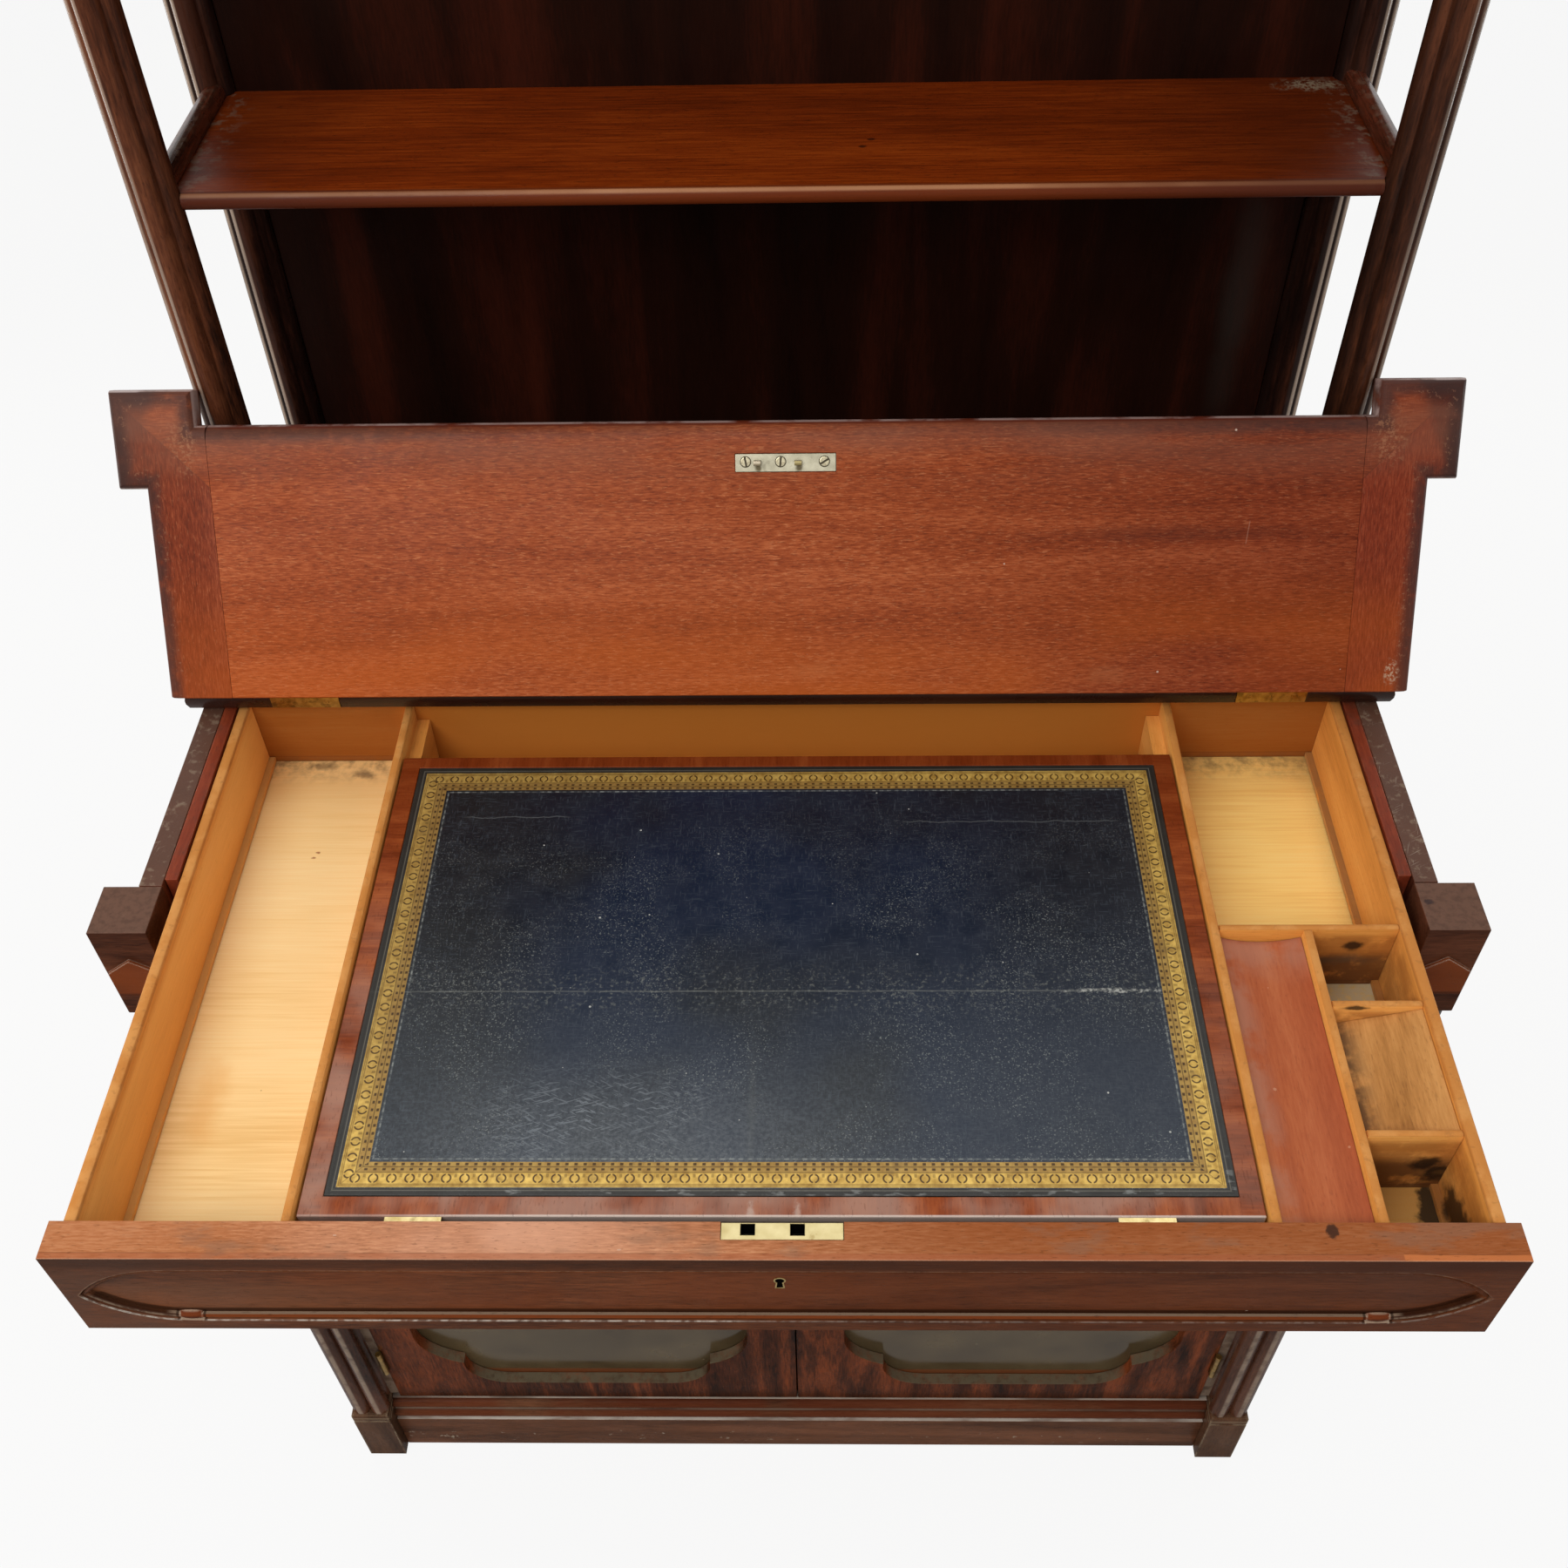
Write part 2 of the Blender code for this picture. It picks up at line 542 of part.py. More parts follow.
def make_case():
    """Side panels, boards, back and drawer guides."""
    between = SIDE_INNER - FIT
    for side, sign in SIDES:
        panel_x = span(sign, SIDE_INNER, SIDE_OUTER)
        panel = cuboid(panel_x, (BLOCK_DEPTH + FIT, CASE_DEPTH), (FLOOR_TOP + FIT, CASE_HEIGHT))
        put(panel, f"side_panel_{side}", CASE, "dark_mahogany")
        guide_x = span(sign, GUIDE_INNER, between)
        guide = cuboid(guide_x, (FRONT_BACK_Y + FIT, BACK_FRONT - FIT), (DUST_TOP + FIT, CASE_HEIGHT))
        put(guide, f"drawer_guide_{side}", CASE, "red_mahogany")
    floor_half = HALF - PLINTH_BLOCK_WIDTH - FIT
    floor_front = PLINTH_SETBACK + PLINTH_THICKNESS + FIT
    floor_z = (FLOOR_TOP - BOARD_THICKNESS, FLOOR_TOP)
    floor = cuboid((-floor_half, floor_half), (floor_front, BACK_FRONT - FIT), floor_z)
    put(floor, "cupboard_floor", CASE, "mahogany")
    shelf_z = (CUPBOARD_SHELF_HEIGHT - BOARD_THICKNESS, CUPBOARD_SHELF_HEIGHT)
    shelf = cuboid((-between, between), (CUPBOARD_SHELF_SETBACK, BACK_FRONT - FIT), shelf_z)
    put(shelf, "cupboard_shelf", CASE, "mahogany")
    back = cuboid((-between, between), (BACK_FRONT, CASE_DEPTH), (0, CASE_HEIGHT))
    put(back, "base_back", CASE, "pine")
    make_dustboard(between)


def make_dustboard(between):
    """Board under the drawer: its front edge is the rail between the stiles over the doors."""
    step = BLOCK_DEPTH + FIT
    rail_end = STILE_INNER - FIT
    right = [(rail_end, DOOR_SETBACK), (rail_end, step), (between, step), (between, BACK_FRONT - FIT)]
    outline = right + [(-x, y) for x, y in reversed(right)]
    dust = prism(outline, DUST_TOP - DUSTBOARD_THICKNESS, DUST_TOP)
    put(dust, "drawer_dustboard", CASE, "mahogany")


def top_nosing(limit_x, front_y, low, high):
    """Picks the long horizontal edges at the ends and, unless front_y is None, at the front of a board."""

    def wanted(a, b):
        level = near(a.z, b.z) and (near(a.z, low) or near(a.z, high))
        end = near(abs(a.x), limit_x) and near(abs(b.x), limit_x)
        front = front_y is not None and near(a.y, front_y) and near(b.y, front_y)
        return level and (end or front)

    return wanted


def hinge_leaf(fixed):
    """Meshes of one leaf of a lid hinge at x = 0: plate, knuckles and what is bored out."""
    half = LID_HINGE_LENGTH / 2
    third = LID_HINGE_LENGTH / 6
    if fixed:
        knuckles = [(-third + FIT / 2, third - FIT / 2)]
    else:
        knuckles = [(-half, -third - FIT / 2), (third + FIT / 2, half)]
    way = 1 if fixed else -1
    face = LID_AXIS_Y + way * FIT
    plate_y = (face, face + way * LID_LEAF_THICKNESS)
    plate_top = TOP_TOP - LID_KNUCKLE_RADIUS - FIT
    plate = cuboid((-half, half), plate_y, (TOP_TOP - LID_LEAF_HEIGHT, plate_top))
    webs = [cuboid(x, plate_y, (plate_top - LID_LEAF_THICKNESS, TOP_TOP)) for x in knuckles]
    barrels = [level_rod(LID_KNUCKLE_RADIUS, x, LID_AXIS_Y, TOP_TOP) for x in knuckles]
    pin = level_rod(LID_PIN_RADIUS, (-half, half), LID_AXIS_Y, TOP_TOP, SMALL_SIDES)
    bore = level_rod(LID_PIN_RADIUS + FIT, (-half - RUN, half + RUN), LID_AXIS_Y, TOP_TOP, SMALL_SIDES)
    return plate, webs + barrels, pin, bore


def moved(mesh, x):
    mesh.transform(Matrix.Translation((x, 0, 0)))
    return mesh


def hinge_recess(fixed, x):
    """Room for one leaf and for the knuckles in the edge of the top or of the lid."""
    half = LID_HINGE_LENGTH / 2 + FIT
    way = 1 if fixed else -1
    leaf_y = (LID_AXIS_Y - way * RUN, LID_AXIS_Y + way * (2 * FIT + LID_LEAF_THICKNESS))
    leaf = cuboid((x - half, x + half), leaf_y, (TOP_TOP - LID_LEAF_HEIGHT - FIT, TOP_TOP + RUN))
    room = LID_KNUCKLE_RADIUS + RUN
    barrel_y = (LID_AXIS_Y - way * RUN, LID_AXIS_Y + way * room)
    barrel = cuboid((x - half, x + half), barrel_y, (TOP_TOP - room, TOP_TOP + RUN))
    return leaf, barrel


def make_lid_hinges():
    for side, sign in SIDES:
        for fixed, axis, name in ((True, CASE, "lid_hinge_base"), (False, LID, "lid_hinge_leaf")):
            plate, extras, pin, bore = hinge_leaf(fixed)
            leaf = put(moved(plate, sign * LID_HINGE_X), f"{name}_{side}", axis, "brass")
            for count, extra in enumerate(extras):
                add(leaf, moved(extra, sign * LID_HINGE_X), axis, f"knuckle_{count}")
            if fixed:
                add(leaf, moved(pin, sign * LID_HINGE_X), axis, "pin")
            else:
                cut(leaf, moved(bore, sign * LID_HINGE_X), axis, "bore")


def make_fixed_top():
    mesh = cuboid((-TOP_HALF_WIDTH, TOP_HALF_WIDTH), (LID_AXIS_Y + FIT, CASE_DEPTH), (TOP_BOTTOM, TOP_TOP))
    soften(mesh, NOSING, top_nosing(TOP_HALF_WIDTH, None, TOP_BOTTOM, TOP_TOP))
    top = put(mesh, "fixed_top", CASE, "mahogany")
    for side, sign in SIDES:
        for kind, room in zip(("leaf", "barrel"), hinge_recess(True, sign * LID_HINGE_X)):
            cut(top, room, CASE, f"{kind}_{side}")


def make_lid():
    back = LID_AXIS_Y - FIT
    mesh = cuboid((-CLAMP_INNER, CLAMP_INNER), (LID_FRONT_Y, back), (LID_BOTTOM, TOP_TOP))
    soften(mesh, NOSING, lambda a, b: near(a.z, b.z) and near(a.y, LID_FRONT_Y) and near(b.y, LID_FRONT_Y))
    panel = put(mesh, "lid_panel", LID, "lid_mahogany")
    ear_back = EAR_FRONT_Y + EAR_LENGTH
    clamp_outline = [
        (CLAMP_INNER + FIT, LID_FRONT_Y), (EAR_INNER, LID_FRONT_Y),
        (EAR_INNER, EAR_FRONT_Y), (EAR_OUTER, EAR_FRONT_Y), (EAR_OUTER, ear_back),
        (TOP_HALF_WIDTH, ear_back), (TOP_HALF_WIDTH, back), (CLAMP_INNER + FIT, back),
    ]

    def outer_edge(a, b):
        joint = near(abs(a.x), CLAMP_INNER + FIT) and near(abs(b.x), CLAMP_INNER + FIT)
        hinged = near(a.y, back) and near(b.y, back)
        return near(a.z, b.z) and not joint and not hinged

    for side, sign in SIDES:
        clamp = soften(prism(mirrored(clamp_outline, sign), LID_BOTTOM, TOP_TOP), NOSING, outer_edge)
        put(clamp, f"lid_clamp_{side}", LID, "lid_mahogany")
        for kind, room in zip(("leaf", "barrel"), hinge_recess(False, sign * LID_HINGE_X)):
            cut(panel, room, LID, f"{kind}_{side}")
    make_link_plate(panel)


def link_places():
    return [LINK_OFFSET + LINK_SPACING * side for side in (-0.5, 0.5)]


def make_link_plate(panel):
    """Plate let into the underside of the lid, with the two links that drop into the lock."""
    x = (LOCK_X - LOCK_LENGTH / 2, LOCK_X + LOCK_LENGTH / 2)
    y = (LINK_Y - LINK_PLATE_WIDTH / 2, LINK_Y + LINK_PLATE_WIDTH / 2)
    plate = put(cuboid(x, y, (LID_BOTTOM, LID_BOTTOM + LINK_PLATE_THICKNESS)), "link_plate", LID, "nickel")
    for count, middle in enumerate(link_places()):
        link = cuboid(
            (middle - LINK_LENGTH / 2, middle + LINK_LENGTH / 2),
            (LINK_Y - LINK_WIDTH / 2, LINK_Y + LINK_WIDTH / 2),
            (LID_BOTTOM - LINK_DROP, LID_BOTTOM + LINK_PLATE_THICKNESS / 2),
        )
        add(plate, link, LID, f"link_{count}")
    room_z = (LID_BOTTOM - RUN, LID_BOTTOM + LINK_PLATE_THICKNESS + FIT)
    room = cuboid((x[0] - FIT, x[1] + FIT), (y[0] - FIT, y[1] + FIT), room_z)
    cut(panel, room, LID, "link_plate")


def post_prism(sign, y, room, low, high):
    """A cluster post, or with room the space to leave for it."""
    diameter = POST_SHAFT_DIAMETER + 2 * room
    outline = cluster_outline(sign * POST_X, y, diameter, POST_SHAFT_LAP + 2 * room, 0)
    return prism(outline, low, high)


def scribe(obj, sides):
    """Cut an object round the posts that it meets."""
    low = MIDDLE_SHELF_TOP - MIDDLE_SHELF_THICKNESS - RUN
    high = MIDDLE_SHELF_TOP + RAIL_RISE + RUN
    for side, sign in sides:
        for place, y in POSTS:
            cut(obj, post_prism(sign, y, FIT, low, high), CASE, f"post_{place}_{side}")


def make_superstructure():
    for side, sign in SIDES:
        for place, y in POSTS:
            post = post_prism(sign, y, 0, TOP_TOP + FIT, POST_TOP - FIT)
            put(post, f"post_{place}_{side}", CASE, "dark_mahogany")
        make_shelf_rail(side, sign)
    make_middle_shelf()
    back_y = (REAR_POST_Y, REAR_POST_Y + UPPER_BACK_THICKNESS)
    back_half = POST_INNER + UPPER_BACK_HOUSING
    board = cuboid((-back_half, back_half), back_y, (TOP_TOP + FIT, POST_TOP - FIT))
    back = put(board, "upper_back", CASE, "dark_mahogany")
    for side, sign in SIDES:
        cut(back, post_prism(sign, REAR_POST_Y, FIT, TOP_TOP, POST_TOP), CASE, f"post_{side}")
    half = POST_OUTER + TOP_SHELF_OVERHANG
    front = POST_SHAFT_FRONT - TOP_SHELF_OVERHANG
    top = cuboid((-half, half), (front, CASE_DEPTH), (POST_TOP, POST_TOP + TOP_SHELF_THICKNESS))
    soften(top, SHELF_NOSING, top_nosing(half, front, POST_TOP, POST_TOP + TOP_SHELF_THICKNESS))
    put(top, "top_shelf", CASE, "dark_mahogany")


def make_shelf_rail(side, sign):
    """Rail with a rounded top at one end of the middle shelf, from the front post to the rear post."""
    x = span(sign, POST_INNER + RAIL_INSET, POST_INNER + RAIL_INSET + RAIL_WIDTH)
    top = MIDDLE_SHELF_TOP + RAIL_RISE
    mesh = cuboid(x, (FRONT_POST_Y, REAR_POST_Y), (MIDDLE_SHELF_TOP - MIDDLE_SHELF_THICKNESS, top))
    soften(mesh, RAIL_ROUNDING, lambda a, b: near(a.z, top) and near(b.z, top) and near(a.x, b.x))
    rail = put(mesh, f"shelf_rail_{side}", CASE, "dark_mahogany")
    scribe(rail, [(side, sign)])


def make_middle_shelf():
    """Shelf with a rounded front edge, cut round the posts and closed by the end rails."""
    half = POST_INNER + RAIL_INSET - FIT
    front = FRONT_POST_Y - SHELF_FRONT_PROUD
    levels = (MIDDLE_SHELF_TOP - MIDDLE_SHELF_THICKNESS, MIDDLE_SHELF_TOP)
    mesh = cuboid((-half, half), (front, REAR_POST_Y - FIT), levels)
    soften(mesh, SHELF_NOSING, lambda a, b: near(a.z, b.z) and near(a.y, front) and near(b.y, front))
    scribe(put(mesh, "middle_shelf", CASE, "mahogany"), SIDES)


def sunk_outline(inset, centre_z):
    """Pointed-ended panel of the drawer front, drawn in by inset. Given as (x, z)."""
    reach = SUNK_REACH - SUNK_STRAIGHT
    radius = (reach**2 + SUNK_HALF_HEIGHT**2) / (2 * SUNK_HALF_HEIGHT)
    drop = radius - SUNK_HALF_HEIGHT
    tip = atan2(drop, sqrt((radius - inset) ** 2 - drop**2)) * 180 / pi
    quarter = arc((SUNK_STRAIGHT, -drop), radius - inset, 90, tip, ARC_STEPS)
    upper = mirrored(quarter, -1)[::-1] + quarter
    lower = [(x, -z) for x, z in reversed(upper)][1:-1]
    return [(x, centre_z + z) for x, z in upper + lower]


def bead_loop(path, y):
    """A closed round bead that follows a path of (x, z) at one depth."""
    curve = bpy.data.curves.new("bead", "CURVE")
    curve.dimensions = "3D"
    curve.bevel_depth = FRONT_BEAD_RADIUS
    curve.bevel_resolution = 1
    spline = curve.splines.new("POLY")
    spline.points.add(len(path) - 1)
    for point, (x, z) in zip(spline.points, path):
        point.co = (x, y, z, 1)
    spline.use_cyclic_u = True
    holder = bpy.data.objects.new("bead", curve)
    bpy.context.scene.collection.objects.link(holder)
    graph = bpy.context.evaluated_depsgraph_get()
    mesh = bpy.data.meshes.new_from_object(holder.evaluated_get(graph))
    bpy.data.objects.remove(holder)
    bpy.data.curves.remove(curve)
    return mesh


def turned_collar(x, z):
    """A barrel-shaped ring round the bead, its front just within the face of the drawer front."""
    y = DOOR_SETBACK + COLLAR_RADIUS + FIT
    turns = [2 * pi * i / SMALL_SIDES for i in range(SMALL_SIDES)]
    work = bmesh.new()
    rings = []
    for slope in (-90, -60, -30, 0, 30, 60, 90):
        along = x + COLLAR_LENGTH / 2 * sin(radians(slope))
        radius = COLLAR_END_RADIUS + (COLLAR_RADIUS - COLLAR_END_RADIUS) * cos(radians(slope))
        rings.append([work.verts.new((along, y + radius * cos(a), z + radius * sin(a))) for a in turns])
    for ring, following in zip(rings, rings[1:]):
        for i in range(SMALL_SIDES):
            j = (i + 1) % SMALL_SIDES
            work.faces.new((ring[i], ring[j], following[j], following[i]))
    work.faces.new(rings[0])
    work.faces.new(rings[-1])
    bmesh.ops.recalc_face_normals(work, faces=work.faces)
    return mesh_from(work)


def make_drawer_front():
    board_x = (-FRONT_HALF_WIDTH, FRONT_HALF_WIDTH)
    board = cuboid(board_x, (DOOR_SETBACK, FRONT_BACK_Y), (FRONT_BOTTOM, CASE_HEIGHT))
    front = put(board, "drawer_front", DRAWER, "mahogany")
    centre_z = FRONT_BOTTOM + SUNK_CENTRE_RISE
    sunk_floor = DOOR_SETBACK + SUNK_DEPTH
    cut(front, prism(sunk_outline(0, centre_z), DOOR_SETBACK - RUN, sunk_floor, "y"), DRAWER, "sunk_panel")
    inset = FRONT_BEAD_RADIUS + RUN
    bead_y = DOOR_SETBACK + FRONT_BEAD_DEPTH
    add(front, bead_loop(sunk_outline(inset, centre_z), bead_y), DRAWER, "bead")
    for side, sign in SIDES:
        for level, way in (("lower", -1), ("upper", 1)):
            collar_z = centre_z + way * (SUNK_HALF_HEIGHT - inset)
            collar = turned_collar(sign * SUNK_STRAIGHT, collar_z)
            add(front, collar, DRAWER, f"collar_{level}_{side}")
    for kind, mesh in zip(("plate", "case"), lock_bodies(FIT, FIT + RUN)):
        cut(front, mesh, DRAWER, f"lock_{kind}")


def lock_bodies(room, past):
    """Plate and case of the box lock, grown by room all round and by past where they meet a free face."""
    plate_top = CASE_HEIGHT - FIT
    plate = cuboid(
        (LOCK_X - LOCK_LENGTH / 2 - room, LOCK_X + LOCK_LENGTH / 2 + room),
        (LOCK_BACK_Y - LOCK_PLATE_WIDTH - room, LOCK_BACK_Y + past),
        (plate_top - LOCK_PLATE_THICKNESS - room, plate_top + past),
    )
    case = cuboid(
        (LOCK_X - LOCK_CASE_LENGTH / 2 - room, LOCK_X + LOCK_CASE_LENGTH / 2 + room),
        (LOCK_BACK_Y - LOCK_CASE_WIDTH - room, LOCK_BACK_Y + past),
        (plate_top - LOCK_CASE_HEIGHT - room, plate_top - LOCK_PLATE_THICKNESS / 2),
    )
    return plate, case


def make_lock():
    plate, case = lock_bodies(0, 0)
    lock = put(plate, "box_lock", DRAWER, "brass")
    add(lock, case, DRAWER, "case")
    for count, middle in enumerate(link_places()):
        hole = cuboid(
            (middle - LINK_HOLE_LENGTH / 2, middle + LINK_HOLE_LENGTH / 2),
            (LINK_Y - LINK_HOLE_WIDTH / 2, LINK_Y + LINK_HOLE_WIDTH / 2),
            (CASE_HEIGHT - LINK_HOLE_DEPTH, CASE_HEIGHT + RUN),
        )
        cut(lock, hole, DRAWER, f"hole_{count}")


def divider_outline(inner):
    """A divider from inner to the right-hand drawer side, notched over the slip. Given as (x, z)."""
    outer = BOX_INNER - FIT
    slip_edge = BOX_INNER - SLIP_WIDTH - FIT
    slip_top = DIVIDER_BASE + SLIP_HEIGHT + FIT
    return [
        (inner, DIVIDER_BASE), (slip_edge, DIVIDER_BASE), (slip_edge, slip_top),
        (outer, slip_top), (outer, DIVIDER_TOP), (inner, DIVIDER_TOP),
    ]


def round_top(mesh, top, along):
    """Round those edges at the top of a board that run along x or y."""

    def wanted(a, b):
        level = near(a.z, top) and near(b.z, top)
        return level and not near(getattr(a, along), getattr(b, along))

    return soften(mesh, TOP_ROUNDING, wanted, 2)


def make_drawer_box():
    side_low = DUST_TOP + RUN
    side_high = CASE_HEIGHT - DRAWER_SIDE_DROP
    slip_inner = BOX_INNER - SLIP_WIDTH
    section = [
        (BOX_OUTER, side_low), (BOX_OUTER, side_high), (BOX_INNER, side_high),
        (BOX_INNER, DIVIDER_BASE + SLIP_HEIGHT), (slip_inner, DIVIDER_BASE + SLIP_HEIGHT),
        (slip_inner, DIVIDER_BASE), (BOX_INNER, DIVIDER_BASE), (BOX_INNER, side_low),
    ]
    for side, sign in SIDES:
        board = prism(mirrored(section, sign), BOX_FRONT, BOX_BACK_INNER - FIT, "y")
        put(round_top(board, side_high, "y"), f"drawer_side_{side}", DRAWER, "cedar")
    inside = BOX_INNER - FIT
    bottom_z = (BOX_FLOOR - DRAWER_BOTTOM_THICKNESS, BOX_FLOOR)
    bottom = cuboid((-inside, inside), (BOX_FRONT, BOX_BACK_INNER - FIT), bottom_z)
    put(bottom, "drawer_bottom", DRAWER, "pale_oak")
    back = cuboid((-BOX_OUTER, BOX_OUTER), (BOX_BACK_INNER, BOX_BACK), (side_low, side_high))
    put(back, "drawer_back", DRAWER, "cedar")


def make_partitions():
    ledge_top = SLOPE_BOTTOM - FIT
    section = [
        (PARTITION_OUTER, DIVIDER_BASE), (PARTITION_OUTER, DIVIDER_TOP), (PARTITION_X, DIVIDER_TOP),
        (PARTITION_X, ledge_top), (PARTITION_X - LEDGE_WIDTH, ledge_top),
        (PARTITION_X - LEDGE_WIDTH, DIVIDER_BASE),
    ]
    for side, sign in SIDES:
        board = prism(mirrored(section, sign), BOX_FRONT, BOX_BACK_INNER - FIT, "y")
        put(round_top(board, DIVIDER_TOP, "y"), f"partition_{side}", DRAWER, "cedar")
    half = DIVIDER_THICKNESS / 2
    pen_y = (BOX_FRONT, CROSS_DIVIDER_Y - half - FIT)
    pen_x = (PEN_DIVIDER_X, PEN_DIVIDER_X + PARTITION_THICKNESS)
    pen_board = cuboid(pen_x, pen_y, (DIVIDER_BASE, DIVIDER_TOP))
    put(round_top(pen_board, DIVIDER_TOP, "y"), "pen_divider", DRAWER, "cedar")
    crossing = (
        ("cross_divider", PARTITION_OUTER, CROSS_DIVIDER_PLACE),
        ("ink_divider_rear", pen_x[1], INK_REAR_PLACE),
        ("ink_divider_front", pen_x[1], INK_FRONT_PLACE),
    )
    for name, inner, place in crossing:
        middle = BOX_FRONT + place
        board = prism(divider_outline(inner + FIT), middle - half, middle + half, "y")
        put(round_top(board, DIVIDER_TOP, "x"), name, DRAWER, "cedar")
    make_pen_tray((PARTITION_OUTER + FIT, PEN_DIVIDER_X - FIT), pen_y)


def make_pen_tray(x, y):
    """Block whose top is hollowed along its whole length."""
    edge = DIVIDER_TOP - PEN_TRAY_DROP
    half = (x[1] - x[0]) / 2
    radius = (half**2 + PEN_TRAY_DISH**2) / (2 * PEN_TRAY_DISH)
    sweep = atan2(half, radius - PEN_TRAY_DISH) * 180 / pi
    middle = ((x[0] + x[1]) / 2, edge - PEN_TRAY_DISH + radius)
    hollow = arc(middle, radius, 270 - sweep, 270 + sweep, ARC_STEPS)
    section = [(x[0], DIVIDER_BASE)] + hollow + [(x[1], DIVIDER_BASE)]
    put(prism(section, *y, "y"), "pen_tray", DRAWER, "red_mahogany")


def make_slope():
    half = SLOPE_HALF_WIDTH
    board = cuboid((-half, half), (SLOPE_FRONT, SLOPE_BACK), (SLOPE_BOTTOM, SLOPE_TOP))
    slope = put(board, "writing_slope", SLOPE, "mahogany")
    inner = half - LEATHER_SIDE_BORDER
    leather_y = (SLOPE_FRONT + LEATHER_FRONT_BORDER, SLOPE_BACK - LEATHER_REAR_BORDER)
    leather = cuboid((-inner, inner), leather_y, (SLOPE_TOP - LEATHER_THICKNESS, SLOPE_TOP))
    put(leather, "leather", SLOPE, "blue_leather")
    room = cuboid(
        (-inner - FIT, inner + FIT), (leather_y[0] - FIT, leather_y[1] + FIT),
        (SLOPE_TOP - LEATHER_THICKNESS - FIT, SLOPE_TOP + RUN),
    )
    cut(slope, room, SLOPE, "leather")
    for side, sign in SIDES:
        make_slope_hinge(side, sign * SLOPE_HINGE_X)


def make_slope_hinge(side, middle):
    """Knuckle behind the drawer front, with a bent leaf on the slope's front edge."""
    x = (middle - SLOPE_HINGE_LENGTH / 2, middle + SLOPE_HINGE_LENGTH / 2)
    leaf_back = SLOPE_FRONT - FIT
    leaf_front = leaf_back - SLOPE_LEAF_THICKNESS
    under = SLOPE_TOP - SLOPE_LEAF_THICKNESS
    foot = SLOPE_TOP - SLOPE_LEAF_HEIGHT
    section = [
        (SLOPE_AXIS_Y, SLOPE_TOP), (SLOPE_AXIS_Y, under), (leaf_front, under),
        (leaf_front, foot), (leaf_back, foot), (leaf_back, SLOPE_TOP),
    ]
    hinge = put(prism(section, *x, "x"), f"slope_hinge_{side}", SLOPE, "brass")
    add(hinge, level_rod(SLOPE_KNUCKLE_RADIUS, x, SLOPE_AXIS_Y, SLOPE_TOP, SMALL_SIDES), SLOPE, "knuckle")


def door_opening():
    """Shaped opening of the right-hand door, with a cusp near each corner. Given as (x, z)."""
    left = DOOR_MEETING_STILE
    right = DOOR_OUTER - DOOR_STILE
    low = DOOR_BOTTOM + DOOR_RAIL
    high = DOOR_TOP - DOOR_RAIL
    half = (right - left) / 2
    corner = OPENING_CORNER_RADIUS
    cusp = radians(OPENING_CUSP_ANGLE)
    cusp_x = OPENING_FOOT_HALF + corner * cos(cusp)
    cusp_z = low + corner * (1 + sin(cusp))
    lobe = ((half - cusp_x) ** 2 + OPENING_LOBE_RISE**2) / (2 * (half - cusp_x))
    lobe_centre = (half - lobe, cusp_z + OPENING_LOBE_RISE)
    lobe_start = atan2(-OPENING_LOBE_RISE, cusp_x - lobe_centre[0]) * 180 / pi
    quarter = arc((OPENING_FOOT_HALF, low + corner), corner, -90, OPENING_CUSP_ANGLE, ARC_STEPS)
    quarter += arc(lobe_centre, lobe, lobe_start, 0, ARC_STEPS)[1:]
    middle_x = (left + right) / 2
    right_half = quarter + [(x, low + high - z) for x, z in reversed(quarter)]
    outline = right_half + [(-x, z) for x, z in reversed(right_half)]
    return [(middle_x + x, z) for x, z in outline]


def pane_outline(grow):
    """Plain rectangle that covers the opening by the lip of the rebate."""
    left = DOOR_MEETING_STILE - grow
    right = DOOR_OUTER - DOOR_STILE + grow
    low = DOOR_BOTTOM + DOOR_RAIL - grow
    high = DOOR_TOP - DOOR_RAIL + grow
    return [(left, low), (right, low), (right, high), (left, high)]


def make_doors():
    face = DOOR_SETBACK
    back = face + DOOR_THICKNESS
    rebate = back - REBATE_DEPTH
    for (side, sign), axis in zip(SIDES, (DOOR_LEFT, DOOR_RIGHT)):
        frame = put(
            cuboid(span(sign, RUN, DOOR_OUTER), (face, back), (DOOR_BOTTOM, DOOR_TOP)),
            f"door_{side}", axis, "dark_mahogany",
        )
        cut(frame, prism(mirrored(door_opening(), sign), face - RUN, back + RUN, "y"), axis, "opening")
        cut(frame, prism(mirrored(pane_outline(REBATE_LIP), sign), rebate, back + RUN, "y"), axis, "rebate")
        pane_y = (rebate + FIT, rebate + FIT + GLASS_THICKNESS)
        pane = prism(mirrored(pane_outline(REBATE_LIP - FIT), sign), *pane_y, "y")
        put(pane, f"glass_{side}", axis, "old_glass")
        lower = DOOR_BOTTOM + DOOR_HINGE_OFFSET
        upper = DOOR_TOP - DOOR_HINGE_OFFSET - DOOR_HINGE_LENGTH
        for place, low in (("lower", lower), ("upper", upper)):
            make_door_hinge(frame, f"door_hinge_{side}_{place}", axis, sign, low)


